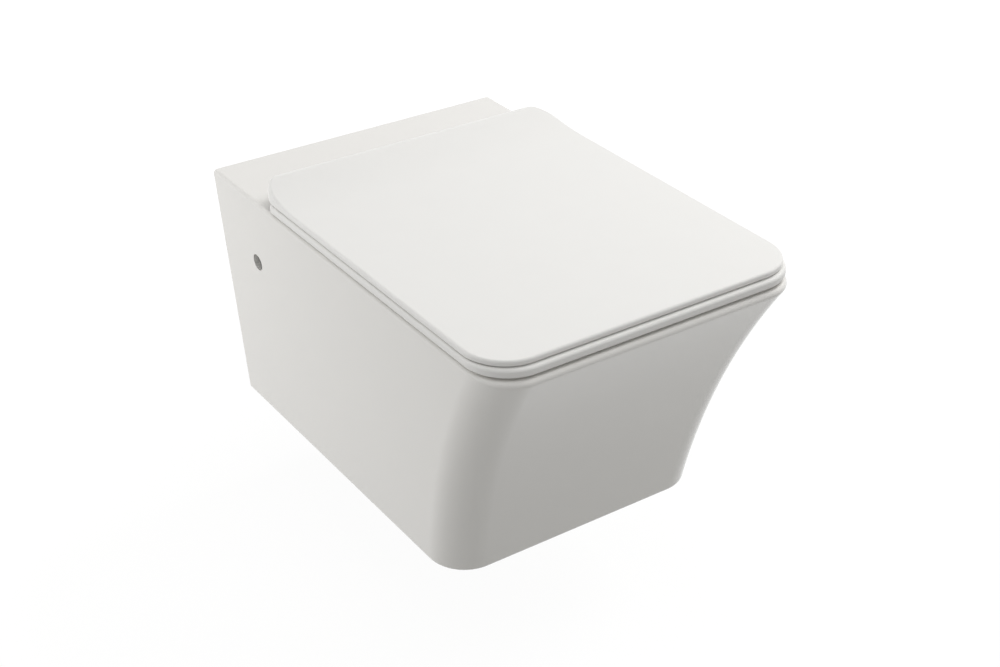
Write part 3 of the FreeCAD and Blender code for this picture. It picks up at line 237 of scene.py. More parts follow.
class SeatSizes(PropertyGroup):
    """The seat ring's sizes."""
    setback: length("Setback", "From the wall to the ring's rear edge", 0.124)
    corner: length("Corner radius", "Rounding of the two front corners", 0.046)
    rear_corner: length("Rear corner radius", "Rounding of the two rear corners", 0.012)
    hole_half: length("Hole half width", "Half the width of the ring's hole", 0.108)
    hole_setback: length("Hole setback", "From the wall to the hole", 0.222)
    hole_reach: length("Hole reach", "From the wall to the far end of the hole", 0.480)
    hole_corner: length("Hole corner", "Rounding of the hole's front corners", 0.096)
    hole_rear_corner: length("Hole rear corner", "Rounding of the hole's rear corners", 0.076)
    thickness: length("Thickness", "Thickness of the ring", 0.009)
    top_edge: length("Top edge", "Rounding of the ring's upper edges", 0.0035)
    bottom_edge: length("Bottom edge", "Rounding of the ring's lower edges", 0.002)


class CoverSizes(PropertyGroup):
    """The cover's sizes."""
    gap: length("Gap", "Gap between the seat ring and the cover", 0.0012)
    thickness: length("Thickness", "Thickness of the flat part", 0.0058)
    corner: length("Corner radius", "Rounding of the two front corners", 0.046)
    rear_corner: length("Rear corner radius", "Rounding of the two rear corners", 0.044)
    rear_margin: length("Rear margin", "How far the rear corners' line stands behind the nose", 0.0008)
    top_edge: length("Top edge", "Rounding of the upper edge", 0.0044)
    bottom_edge: length("Bottom edge", "Rounding of the lower edge", 0.0010)
    sweep: length("Sweep radius", "Radius of the hollow sweep up to the hump", 0.250)
    nose: length("Nose radius", "Radius of the round nose on the hinge axis", 0.0125)
    shell: length("Shell", "Thickness of the hump", 0.0034)
    cheek: length("Cheek", "Thickness of the hump's side walls", 0.005)


class BufferSizes(PropertyGroup):
    """The rubber buffers' sizes."""
    seat_radius: length("Seat buffer radius", "Half the width of a seat buffer", 0.007)
    seat_run: length("Seat buffer run", "Half the straight run of a seat buffer", 0.008)
    seat_pocket: length("Seat buffer pocket", "Depth of its pocket in the ring", 0.0026)
    cover_radius: length("Cover buffer radius", "Radius of a cover buffer", 0.006)
    cover_pocket: length("Cover buffer pocket", "Depth of its pocket in the cover", 0.0016)
    rest: length("Rest gap", "Gap between a buffer and what it rests on", 0.0003)
    taper: length("Taper", "How much narrower a buffer is at its foot", 0.0006)
    press: length("Press gap", "Gap between a buffer and its pocket", 0.00005)


class FinishColours(PropertyGroup):
    """The colours of the materials, as sRGB hex codes."""
    __annotations__ = {
        tone: StringProperty(name=tone.capitalize(), description="Colour of " + name.replace("_", " "),
                             default=code)
        for name, tone, code, *_ in FINISHES.values()
    }


class StageSizes(PropertyGroup):
    """The camera's place and the floor."""
    camera: FloatVectorProperty(name="Camera", description="Where the camera stands", size=3,
                                default=(-0.875, -1.570, 0.877), subtype="TRANSLATION", unit="LENGTH")
    azimuth: FloatProperty(name="Azimuth", description="Turn of the view to the right of straight ahead",
                           default=radians(34.27), unit="ROTATION")
    elevation: FloatProperty(name="Elevation", description="How far the view looks down",
                             default=radians(30.70), unit="ROTATION")
    lens: FloatProperty(name="Lens", description="Focal length", default=61.96, unit="CAMERA")
    floor_drop: length("Floor drop", "From the deck down to the floor", 0.400)


def linear(code):
    """An sRGB hex code as a linear colour."""
    parts = []
    for start in (1, 3, 5):
        share = int(code[start:start + 2], 16) / 255
        parts.append(share / 12.92 if share <= 0.04045 else ((share + 0.055) / 1.055) ** 2.4)
    return (*parts, 1.0)


def add(tree, kind, sockets=None, **settings):
    """Adds a node with its settings. An input takes a value, a socket or a node's first output."""
    made = tree.nodes.new(kind)
    for name, value in settings.items():
        setattr(made, name, value)
    for name, value in (sockets or {}).items():
        if isinstance(value, bpy.types.Node):
            value = value.outputs[0]
        if isinstance(value, bpy.types.NodeSocket):
            tree.links.new(value, made.inputs[name])
        else:
            made.inputs[name].default_value = value
    return made


def emptied(owner):
    """The node tree of a new material or world, without its first nodes."""
    owner.use_nodes = True
    owner.node_tree.nodes.clear()
    return owner.node_tree


def finish(name, code, roughness, grain, relief, uneven, metallic=0.0, ior=1.5):
    """A material whose tint, gloss and surface vary at a real grain size."""
    material = bpy.data.materials.new(name)
    tree = emptied(material)
    place = add(tree, "ShaderNodeTexCoord").outputs["Object"]
    cloud, skin = [
        add(tree, "ShaderNodeTexNoise", {"Vector": place, "Scale": 1 / size, "Detail": detail})
        for size, detail in ((CLOUD_GRAINS * grain, 3.0), (grain, 2.0))
    ]
    base = linear(code)
    deep = (*(part * (1 - CLOUD_DEPTH * uneven) for part in base[:3]), 1.0)
    shade = add(tree, "ShaderNodeMix", {0: cloud, 6: deep, 7: base}, data_type="RGBA")
    gloss = add(tree, "ShaderNodeMapRange", {
        "Value": cloud,
        "To Min": roughness * (1 - uneven),
        "To Max": roughness * (1 + uneven),
    })
    bump = add(tree, "ShaderNodeBump", {"Height": skin, "Strength": 0.5, "Distance": relief})
    shader = add(tree, "ShaderNodeBsdfPrincipled", {
        "Base Color": shade.outputs[2],
        "Metallic": metallic,
        "Roughness": gloss,
        "IOR": ior,
        "Normal": bump,
    })
    add(tree, "ShaderNodeOutputMaterial", {"Surface": shader})
    return material


def slot_finish(slot):
    """The material of a slot in the record."""
    name, tone, _, *values = FINISHES[slot]
    code = getattr(bpy.context.scene.toilet_finishes, tone)
    return bpy.data.materials.get(name) or finish(name, code, *values)


def outward(mesh):
    """Merges doubles, drops empty faces and turns every face outwards."""
    work = bmesh.new()
    work.from_mesh(mesh)
    bmesh.ops.remove_doubles(work, verts=work.verts, dist=MERGE)
    bmesh.ops.dissolve_degenerate(work, edges=work.edges, dist=MERGE)
    bmesh.ops.recalc_face_normals(work, faces=work.faces)
    work.to_mesh(mesh)
    work.free()


def linked(name, data):
    """A new object in the scene."""
    made = bpy.data.objects.new(name, data)
    bpy.context.scene.collection.objects.link(made)
    return made


def piece(name, points, faces):
    """A mesh object with outward faces."""
    mesh = bpy.data.meshes.new(name)
    mesh.from_pydata([tuple(point) for point in points], [], faces)
    outward(mesh)
    return linked(name, mesh)


def loft(name, rings, ends="caps"):
    """A closed skin through rings of equal counts: with flat caps, ladders across X, or joined round."""
    count = len(rings[0])
    last = (len(rings) - 1) * count
    points = [point for ring in rings for point in ring]
    faces = []
    for level in range(len(rings) if ends == "joined" else len(rings) - 1):
        low, high = level * count, (level + 1) % len(rings) * count
        for step in range(count):
            after = (step + 1) % count
            faces.append((low + step, low + after, high + after, high + step))
    for start in (0, last) if ends != "joined" else ():
        if ends == "caps":
            faces.append(tuple(range(start, start + count)))
        else:
            for step in range(count // 2 - 1):
                far = start + count - 1 - step
                faces.append((start + step, start + step + 1, far - 1, far))
    return piece(name, points, faces)


def even(first, last, steps):
    """Evenly spaced values from the first to the last."""
    return [first + (last - first) * step / steps for step in range(steps + 1)]


def circle(centre, radius, right, up, steps=48):
    """A ring of points about a centre in the plane of two directions."""
    return [Vector(centre) + radius * (cos(turn) * Vector(right) + sin(turn) * Vector(up))
            for turn in even(0, 2 * pi, steps)[:-1]]


def turned(name, axis, stations, centre):
    """A round solid along an axis through a point, from (radius, place) stations."""
    right, up = [unit for unit in UNITS if not unit[axis]]
    rings = []
    for radius, place in stations:
        middle = Vector(centre)
        middle[axis] = place
        rings.append(circle(middle, radius, right, up))
    return loft(name, rings)


def rod(name, axis, radius, start, end, centre):
    """A round bar along an axis through a point, between two places."""
    return turned(name, axis, [(radius, start), (radius, end)], centre)


def swept(name, axis, outline, start, end, shift=(0, 0), ends="caps"):
    """A solid that an outline in the plane of the other two axes, shifted there, sweeps along an axis."""
    moved = [(point[0] + shift[0], point[1] + shift[1]) for point in outline]
    rings = [[(*point[:axis], place, *point[axis:]) for point in moved] for place in (start, end)]
    return loft(name, rings, ends)


def block(name, x0, x1, y0, y1, z0, z1):
    """A block between two corners."""
    return swept(name, Z, [(x0, y0), (x1, y0), (x1, y1), (x0, y1)], z0, z1)


def plain(made):
    """Turns a piece with live modifiers into a plain mesh."""
    graph = bpy.context.evaluated_depsgraph_get()
    mesh = bpy.data.meshes.new_from_object(made.evaluated_get(graph))
    made.modifiers.clear()
    before = made.data
    made.data = mesh
    bpy.data.meshes.remove(before)
    return made


def carve(target, tools, operation="DIFFERENCE"):
    """Cuts the tools from a piece, or joins them to it, and removes them."""
    for tool in tools:
        cut = target.modifiers.new("carve", "BOOLEAN")
        cut.operation = operation
        cut.solver = "EXACT"
        cut.object = tool
        plain(target)
        bpy.data.objects.remove(tool)
    return target


def dress(made, slot, body, *nodes):
    """Gives a finished piece its smooth faces, material and body, and hides the nodes that it stands for."""
    mesh = made.data
    outward(mesh)
    mesh.materials.clear()
    mesh.materials.append(slot_finish(slot))
    mesh.polygons.foreach_set("use_smooth", [True] * len(mesh.polygons))
    mesh.polygons.foreach_set("material_index", [0] * len(mesh.polygons))
    mesh.set_sharp_from_angle(angle=SMOOTH)
    shading = made.modifiers.new("even_shading", "WEIGHTED_NORMAL")
    shading.keep_sharp = True
    plain(made)
    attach(made, body)
    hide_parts(*nodes)
    return made


def rounded_loop(plan, z=0.0, grow=0.0, steps=16, runs=6):
    """A closed outline about X = 0 with round corners, from a plan like the bowl's, grown outwards."""
    half, rear, front, rear_radius, front_radius = plan
    half, rear, front = half + grow, rear - grow, front + grow
    rear_radius, front_radius = rear_radius + grow, front_radius + grow
    corners = (
        (half - rear_radius, -rear - rear_radius, rear_radius, 90, 0),
        (half - front_radius, -front + front_radius, front_radius, 0, -90),
        (front_radius - half, -front + front_radius, front_radius, -90, -180),
        (rear_radius - half, -rear - rear_radius, rear_radius, 180, 90),
    )
    arcs = []
    for x, y, radius, first, last in corners:
        turns = [radians(angle) for angle in even(first, last, steps)]
        arcs.append([Vector((x + radius * cos(turn), y + radius * sin(turn), z)) for turn in turns])
    loop = []
    for index, arc in enumerate(arcs):
        after = arcs[(index + 1) % len(arcs)][0]
        loop += arc + [arc[-1].lerp(after, step / runs) for step in range(1, runs)]
    return loop


def quarter(radius, steps=EDGE_STEPS):
    """(inset, drop) pairs round a quarter turn, from an upright face to a level one."""
    return [(radius * (1 - cos(turn)), radius * (1 - sin(turn)))
            for turn in even(0, pi / 2, steps)]


def twin_arcs(middle, half, radius, reach, steps):
    """An outline of two arcs back to back, with their centres half a width to each side of the middle."""
    outline = []
    for sign in (1, -1):
        for turn in even(-reach, reach, steps):
            outline.append((middle[0] + sign * (half + radius * cos(turn)),
                            middle[1] + sign * radius * sin(turn)))
    return outline


class PanForm:
    """The pan's leaning sides, hollow front and round corners, moved inwards by any amount."""

    def __init__(self, size):
        self.size = size
        self.deck = PAN_HIGH.z
        self.base = PAN_HIGH.z - size.height
        self.lean = (size.deck_width - size.base_width) / 2 / size.height
        run = size.rim_projection - size.base_projection
        chord = hypot(size.height, run)
        self.radius = (chord ** 2 / 4 + size.front_hollow ** 2) / (2 * size.front_hollow)
        back_off = self.radius - size.front_hollow
        middle_y = -(size.rim_projection + size.base_projection) / 2
        middle_z = (self.deck + self.base) / 2
        self.axis = Vector((0, middle_y - back_off * size.height / chord,
                            middle_z - back_off * run / chord))
        self.side = Vector((1, 0, -self.lean)).normalized()

    def half(self, z, inset):
        """Half the width at a height."""
        return self.size.base_width / 2 + self.lean * (z - self.base) - inset * hypot(1, self.lean)

    def front(self, z, inset):
        """Where the front face stands along Y at a height."""
        return self.axis.y + sqrt((self.radius + inset) ** 2 - (z - self.axis.z) ** 2)

    def front_normal(self, y, z):
        """The front face's outward direction."""
        return (self.axis - Vector((0, y, z))).normalized()

    def corner(self, z, inset, turn, rounds=16):
        """A point of the right front corner at a height, and its outward direction, found in rounds."""
        ball = self.size.corner
        middle = z
        for _ in range(rounds):
            centre = Vector((self.half(middle, ball), self.front(middle, ball), middle))
            normal = self.side.slerp(self.front_normal(centre.y, centre.z), turn)
            middle = z - (ball - inset) * normal.z
        return centre + (ball - inset) * normal, normal

    def at(self, column, z, inset, back=0.0):
        """A point of the skin on one of its columns at a height, and its outward direction."""
        kind, share, sign = column
        if kind == "corner":
            point, normal = self.corner(z, inset, share)
        elif kind == "side":
            ahead = self.corner(z, inset, 0)[0].y
            point, normal = Vector((self.half(z, inset), back + share * (ahead - back), z)), self.side
        else:
            edge = self.corner(z, inset, 1)[0]
            point, normal = Vector((edge.x * (1 - share), edge.y, z)), self.front_normal(edge.y, z)
        mirror = Vector((sign, 1, 1))
        return point * mirror, normal * mirror

    def columns(self, sides, corners, fronts):
        """The columns from the wall round the front and back to the wall."""
        right = [("side", step / sides, 1) for step in range(sides)]
        right += [("corner", step / corners, 1) for step in range(corners + 1)]
        right += [("front", step / fronts, 1) for step in range(1, fronts + 1)]
        left = [(kind, share, -1) for kind, share, _ in reversed(right[:-1])]
        return right + left

    def bend(self, column, height, radius, start, edges=9):
        """The points round a horizontal edge, from the flat face to the wall."""
        centre, normal = self.at(column, height - copysign(radius, start), radius)
        flat = Vector((normal.x, normal.y, 0)).normalized()
        return [centre + radius * (cos(turn) * flat + sin(turn) * Vector(UNITS[Z]))
                for turn in even(start, asin(normal.z), edges)]

    def column_points(self, column, walls=40):
        """The points up one column: round the base edge, up the wall and round the deck edge."""
        base = self.bend(column, self.base, self.size.base_edge, -pi / 2)
        deck = self.bend(column, self.deck, self.size.deck_edge, pi / 2)
        wall = [self.at(column, z, 0)[0] for z in even(base[-1].z, deck[-1].z, walls)[1:-1]]
        return base + wall + deck[::-1]


def pan_skin(form):
    """The pan's outside as a solid."""
    columns = [form.column_points(column) for column in form.columns(sides=8, corners=24, fronts=6)]
    return loft("pan_glazed", list(zip(*columns)))


def pan_hollow(form, levels=16):
    """The hollow inside the outer wall, open at the back."""
    size = form.size
    columns = form.columns(sides=4, corners=8, fronts=3)
    rings = []
    for z in even(form.base + size.wall, form.deck - size.deck_thickness, levels):
        ring = [form.at(column, z, size.wall, size.wall)[0] for column in columns]
        rings.append([Vector((point.x, max(point.y, -size.hollow_reach), z)) for point in ring])
    return loft("hollow", rings)


def bowl_level(depth):
    """The bowl's outline at a depth, on a smooth curve through its levels."""
    last = len(BOWL_LEVELS) - 1
    index = max(step for step in range(last) if step == 0 or BOWL_LEVELS[step][0] <= depth)
    first, second = BOWL_LEVELS[index], BOWL_LEVELS[index + 1]
    before, after = BOWL_LEVELS[max(index - 1, 0)], BOWL_LEVELS[min(index + 2, last)]
    run = second[0] - first[0]
    share = (depth - first[0]) / run
    values = []
    for part in range(1, len(first)):
        start = run * (second[part] - before[part]) / (second[0] - before[0])
        end = run * (after[part] - first[part]) / (after[0] - first[0])
        values.append((2 * share ** 3 - 3 * share ** 2 + 1) * first[part]
                      + (share ** 3 - 2 * share ** 2 + share) * start
                      + (3 * share ** 2 - 2 * share ** 3) * second[part]
                      + (share ** 3 - share ** 2) * end)
    return values


def basin_rings(deck, grow, levels=22, rounds=6):
    """Rings from the flush shelf down to the sump's rounded floor."""
    top, bottom = BOWL_LEVELS[0][0], BOWL_LEVELS[-1][0] - SUMP_ROUND
    rings = [rounded_loop(bowl_level(depth), deck - depth, grow) for depth in even(top, bottom, levels)]
    ball = SUMP_ROUND + grow
    for inset, drop in quarter(ball, rounds)[1:]:
        rings.append(rounded_loop(bowl_level(bottom), deck - bottom - ball + drop, grow - inset))
    return rings


def bowl_space(form):
    """The inside of the bowl with its rounded lip and flush shelf."""
    lip, deck = form.size.bowl_lip, form.deck
    shelf = deck - BOWL_LEVELS[0][0]
    rings = [rounded_loop(BOWL_MOUTH, deck + lip, lip)]
    rings += [rounded_loop(BOWL_MOUTH, deck - drop, inset) for inset, drop in reversed(quarter(lip))]
    rings += [rounded_loop(BOWL_MOUTH, shelf + drop, -inset) for inset, drop in quarter(SHELF_ROUND)]
    return loft("bowl", rings + basin_rings(deck, 0))


def bowl_skin(form):
    """The outside of the bowl's wall."""
    wall, deck = form.size.bowl_wall, form.deck
    shelf = deck - BOWL_LEVELS[0][0] - wall
    rings = [rounded_loop(BOWL_MOUTH, deck, wall), rounded_loop(BOWL_MOUTH, shelf, wall)]
    rings += [ring for ring in basin_rings(deck, wall) if ring[0].z < shelf - OVERCUT]
    return loft("bowl_skin", rings)


def bend_points(centre, first, last, steps=14):
    """Points (y, z) along one of the trapway's bends, by angle from straight up."""
    return [(centre[0] + TRAP_BEND * sin(turn), centre[1] + TRAP_BEND * cos(turn))
            for turn in even(first, last, steps)]


def trap_tube(name, form, radius, steps=40):
    """A round tube from the sump, up over the weir and down to the spigot."""
    bore = form.size.trap_bore
    dip = form.deck - BOWL_LEVELS[-1][0] + SUMP_STEP + bore
    crest = dip + WATER_SEAL + 2 * bore
    level = -SPIGOT_RECESS - SPIGOT_LENGTH
    fall_y = level - TRAP_BEND * sin(TRAP_FALL)
    drop = crest - OUTLET.z - 2 * TRAP_BEND * (1 - cos(TRAP_FALL))
    crest_y = fall_y - drop / tan(TRAP_FALL) - TRAP_BEND * sin(TRAP_FALL)
    climb = crest - dip - 2 * TRAP_BEND * (1 - cos(TRAP_RISE))
    dip_y = crest_y - 2 * TRAP_BEND * sin(TRAP_RISE) - climb / tan(TRAP_RISE)
    throat = -(BOWL_LEVELS[-1][2] + BOWL_LEVELS[-1][3]) / 2
    path = [(throat, dip)]
    path += bend_points((dip_y, dip + TRAP_BEND), pi, pi - TRAP_RISE)
    path += bend_points((crest_y, crest - TRAP_BEND), -TRAP_RISE, TRAP_FALL)
    path += bend_points((level, OUTLET.z + TRAP_BEND), pi + TRAP_FALL, pi)
    rings = []
    for index, (y, z) in enumerate(path):
        before, after = path[max(index - 1, 0)], path[min(index + 1, len(path) - 1)]
        along = Vector((0, after[0] - before[0], after[1] - before[1])).normalized()
        rings.append(circle((0, y, z), radius, UNITS[X], (0, -along.z, along.y), steps))
    return loft(name, rings)


def flush_slot(name, grow, front, back):
    """The wide slot into the bowl, or with a wall's growth the outside of its chamber."""
    outline = twin_arcs((0, INLET.z), FLUSH_SLOT_HALF, FLUSH_SLOT_RISE + grow, pi / 2, steps=16)
    return swept(name, Y, outline, front, back)


def build_pan():
    """The ceramic pan with its bowl, trapway, spigot, flush channel and hollow back."""
    form = PanForm(bpy.context.scene.toilet_pan)
    size = form.size
    end = -SPIGOT_RECESS
    level = end - SPIGOT_LENGTH
    trap_skin = size.trap_bore + size.trap_wall
    rear = -BOWL_MOUTH[1]
    slot_y = rear + FLUSH_SLOT_REACH
    boss_face = form.half(0, size.wall) - SIDE_BOSS_DEPTH
    inner = boss_face - size.wall
    step = form.half(0, 0) - SIDE_STEP
    far = size.deck_width / 2
    spigot = [(trap_skin, level - SPIGOT_TAPER), (SPIGOT_RADIUS, level), (SPIGOT_RADIUS, end)]
    spigot_bore = [(size.trap_bore, level), (SPIGOT_BORE, level + SPIGOT_TAPER),
                   (SPIGOT_BORE, end + size.wall)]
    keep = [
        bowl_skin(form),
        trap_tube("trap_skin", form, trap_skin),
        turned("spigot", Y, spigot, OUTLET),
        rod("inlet", Y, INLET_SOCKET + INLET_WALL, rear, -INLET_RECESS, INLET),
        flush_slot("chamber", INLET_WALL, rear, slot_y + INLET_WALL),
    ]
    bores = [
        bowl_space(form),
        trap_tube("trap", form, size.trap_bore),
        turned("spigot_bore", Y, spigot_bore, OUTLET),
        rod("socket", Y, INLET_SOCKET, -INLET_RECESS - INLET_DEPTH, 0.0, INLET),
        rod("channel", Y, FLUSH_CHANNEL, slot_y - FLUSH_CHANNEL / 2, -INLET_RECESS, INLET),
        flush_slot("slot", 0, rear - size.bowl_wall, slot_y),
    ]
    side = (0, -size.side_hole_setback, 0)
    for sign in SIDES:
        post = (sign * POST_X, POST_Y, 0)
        keep += [
            block("shelf", sign * SHELF_INNER, sign * far, rear, -SHELF_REAR, SHELF_LOW, SHELF_HIGH),
            rod("boss", X, SIDE_BOSS, sign * boss_face, sign * far, side),
        ]
        bores += [
            rod("side_hole", X, size.side_hole, sign * step, sign * 2 * far, side),
            rod("side_passage", X, SIDE_PASSAGE, sign * inner, sign * (step + OVERCUT), side),
            rod("post_hole", Z, POST_HOLE, form.deck - 2 * size.deck_thickness, form.deck + size.wall, post),
        ]
    hollow = carve(pan_hollow(form), keep)
    return dress(carve(pan_skin(form), [hollow] + bores), "glazed_china", "pan", "pan")


def flatted_bar(x0, x1):
    """A bar on the hinge axis with two flats, the size of a shaft's socket."""
    reach = asin(SHAFT_HALF_FLAT / SHAFT_RADIUS)
    return swept("shaft_socket", X, twin_arcs(HINGE.yz, 0, SHAFT_RADIUS, reach, steps=12), x0, x1)


def buffer_places(low, high, rear, front):
    """Four places in a box: the rear pair by side inset and setback, the front pair by its insets."""
    places = []
    for inset, y in ((rear[0], -rear[1]), (front[0], low.y + front[1])):
        places += [(sign * (high.x - inset), y) for sign in SIDES]
    return places


def build_seat():
    """The seat ring with its knuckle, the notches for the hinge blocks and the buffers' pockets."""
    size = bpy.context.scene.toilet_seat
    pads = bpy.context.scene.toilet_buffers
    low = SEAT_LOW.z
    high = low + size.thickness
    edge = [(inset, low + drop) for inset, drop in reversed(quarter(size.bottom_edge))]
    edge += [(inset, high - drop) for inset, drop in quarter(size.top_edge)]
    plan = (SEAT_HIGH.x, size.setback, -SEAT_LOW.y, size.rear_corner, size.corner)
    hole = (size.hole_half, size.hole_setback, size.hole_reach, size.hole_rear_corner, size.hole_corner)
    rings = [rounded_loop(plan, z, -inset) for inset, z in edge]
    rings += [rounded_loop(hole, z, inset) for inset, z in reversed(edge)]
    ring = loft("seat_moulded", rings, "joined")
    knuckle = BARREL_INNER - BARREL_GAP
    neck_front = -size.setback - NECK_REACH
    neck = swept("neck", X, [
        (neck_front, high - size.top_edge),
        (neck_front, high - NECK_SINK),
        (-size.setback, HINGE.z - BARREL_GAP),
        (HINGE.y, HINGE.z - BARREL_GAP),
        (HINGE.y, HINGE.z - BARREL),
        (-size.setback, low + size.bottom_edge),
        (neck_front, low + size.bottom_edge),
    ], -knuckle, knuckle)
    carve(ring, [neck, rod("eye", X, BARREL, -knuckle, knuckle, HINGE)], "UNION")
    notch = (NOTCH_HALF, size.setback - size.rear_corner, NOTCH_HALF - POST_Y, OVERCUT, NOTCH_CORNER)
    notch = rounded_loop(notch, **SMALL_LOOP)
    half = pads.seat_radius + pads.press
    pocket = rounded_loop((half, -pads.seat_run - half, pads.seat_run + half, half, half), **SMALL_LOOP)
    cuts = [swept("notch", Z, notch, low - OVERCUT, high + OVERCUT, (sign * POST_X, 0)) for sign in SIDES]
    cuts += [swept("pocket", Z, pocket, low - OVERCUT, low + pads.seat_pocket, place)
             for place in buffer_places(SEAT_LOW, SEAT_HIGH, *SEAT_PADS)]
    cuts.append(flatted_bar(-BARREL_INNER, SOCKET - BARREL_INNER))
    cuts.append(rod("pin_socket", X, PIN_RADIUS, BARREL_INNER - SOCKET, BARREL_INNER, HINGE))
    return dress(carve(ring, cuts), "duroplast", "seat", "seat_ring")


class CoverForm:
    """The cover's plan and side view: a flat top, an upward sweep and a round nose on the hinge axis."""

    def __init__(self, size):
        self.size = size
        self.low = SEAT_LOW.z + bpy.context.scene.toilet_seat.thickness + size.gap
        self.high = self.low + size.thickness
        rise = self.high + size.sweep - HINGE.z
        self.reach = size.sweep + size.nose
        self.start = HINGE.y - sqrt(self.reach ** 2 - rise ** 2)

    def top(self, y, shell=0.0):
        """The upper face's height, moved inwards by a shell."""
        size = self.size
        nose = size.nose - shell
        if y <= self.start:
            return self.high - shell
        if y <= HINGE.y + nose * (self.start - HINGE.y) / self.reach:
            return self.high + size.sweep - sqrt((size.sweep + shell) ** 2 - (y - self.start) ** 2)
        return HINGE.z + sqrt(max(nose ** 2 - (y - HINGE.y) ** 2, 0))

    def bottom(self, y):
        """The lower face's height, with the lower half of the nose."""
        drop = self.size.nose ** 2 - (y - HINGE.y) ** 2
        round_low = HINGE.z - sqrt(max(drop, 0))
        return round_low if y > HINGE.y else min(self.low, round_low)

    def half(self, y, inset, rear):
        """Half the width behind the front corners, for a plan moved inwards that ends at a rear line."""
        radius = self.size.rear_corner - inset
        past = max(y - rear + radius, 0)
        return COVER_HIGH.x - inset - radius + sqrt(max(radius ** 2 - past ** 2, 0))

    def rear_places(self, nose=24, under=10, sweep=28, flat=6):
        """Places along Y from the nose to the front corners, close together where the form turns."""
        meet = acos((self.start - HINGE.y) / self.reach)
        dip = asin((HINGE.z - self.low) / self.size.nose)
        turns = even(0, meet, nose) + even(meet, pi - dip, under)[1:]
        places = [HINGE.y + self.size.nose * cos(turn) for turn in turns]
        places += even(places[-1], self.start, sweep)[1:]
        return places + even(self.start, COVER_LOW.y + self.size.corner, flat)[1:-1]

    def stations(self, corners=20):
        """The right half of the plan: x, y and the direction inwards."""
        rear = HINGE.y + self.size.nose + self.size.rear_margin
        made = [(self.half(y, 0, rear), y, -1.0, 0.0) for y in self.rear_places()]
        corner = self.size.corner
        for turn in even(0, -pi / 2, corners):
            made.append((COVER_HIGH.x - corner * (1 - cos(turn)),
                         COVER_LOW.y + corner * (1 + sin(turn)), -cos(turn), -sin(turn)))
        return made

    def ring(self, edge, sign, turn):
        """A ring round the cover on its rounded upper edge, sign 1, or lower edge, sign -1."""
        right = []
        for x, y, inward_x, inward_y in self.stations():
            high, low = self.top(y), self.bottom(y)
            bend = min(edge, EDGE_SHARE * (high - low))
            inset = bend * (1 - cos(turn))
            face = high if sign > 0 else low
            right.append(Vector((x + inward_x * inset, y + inward_y * inset,
                                 face - sign * bend * (1 - sin(turn)))))
        return right + [Vector((-point.x, point.y, point.z)) for point in reversed(right)]


def cover_pocket(form, rounds=5):
    """The hollow under the hump, which takes the hinge."""
    size = form.size
    inner = size.nose - size.shell
    floor = form.low - OVERCUT
    dip = asin((HINGE.z - form.low) / inner)
    back = HINGE.y + inner * cos(dip)
    sections = [(y, floor) for y in reversed(form.rear_places()) if POCKET_FRONT < y < back]
    sections = [(POCKET_FRONT, floor)] + sections + [(back, floor)]
    for turn in even(dip, 0, rounds)[:-1]:
        sections.append((HINGE.y + inner * cos(turn), HINGE.z - inner * sin(turn)))
    rings = []
    for y, low in sections:
        half, high = form.half(y, size.cheek, HINGE.y + inner), form.top(y, size.shell)
        rings.append([(-half, y, low), (half, y, low), (half, y, high), (-half, y, high)])
    return loft("pocket", rings)


def cover_knuckles(form, steps=12):
    """The two knuckles and the ribs that join them to the hump."""
    near = BARREL_OUTER + BARREL_GAP
    far = near + KNUCKLE
    rear, front = HINGE.y + BARREL, HINGE.y - BARREL
    rib = [(y, form.top(y, OVERCUT)) for y in even(front, rear, steps)]
    rib = [(front, HINGE.z)] + rib + [(rear, HINGE.z)]
    knuckles = []
    for sign in SIDES:
        knuckles.append(rod("eye", X, BARREL, sign * near, sign * far, HINGE))
        knuckles.append(swept("rib", X, rib, sign * near, sign * far))
    return knuckles


def build_cover():
    """The cover with its hump, the pocket for the hinge, two knuckles and the buffers' pockets."""
    form = CoverForm(bpy.context.scene.toilet_cover)
    size = form.size
    pads = bpy.context.scene.toilet_buffers
    turns = even(0, pi / 2, EDGE_STEPS)
    rings = [form.ring(size.bottom_edge, -1, turn) for turn in reversed(turns)]
    rings += [form.ring(size.top_edge, 1, turn) for turn in turns]
    lip = block("lip", -LIP_HALF, LIP_HALF, HINGE.y - size.nose - OVERCUT, HINGE.y + 2 * size.nose,
                PAN_HIGH.z, HINGE.z + LIP_RISE)
    cover = carve(loft("cover_moulded", rings, "ladders"), [cover_pocket(form), lip])
    carve(cover, cover_knuckles(form), "UNION")
    pocket = pads.cover_radius + pads.press
    cuts = [rod("pocket", Z, pocket, form.low - OVERCUT, form.low + pads.cover_pocket, (x, y, 0))
            for x, y in buffer_places(COVER_LOW, COVER_HIGH, *COVER_PADS)]
    cuts.append(flatted_bar(BARREL_OUTER, BARREL_OUTER + SOCKET))
    cuts.append(rod("pin_socket", X, PIN_RADIUS, -BARREL_OUTER - SOCKET, -BARREL_OUTER, HINGE))
    return dress(carve(cover, cuts), "duroplast", "cover", "cover")


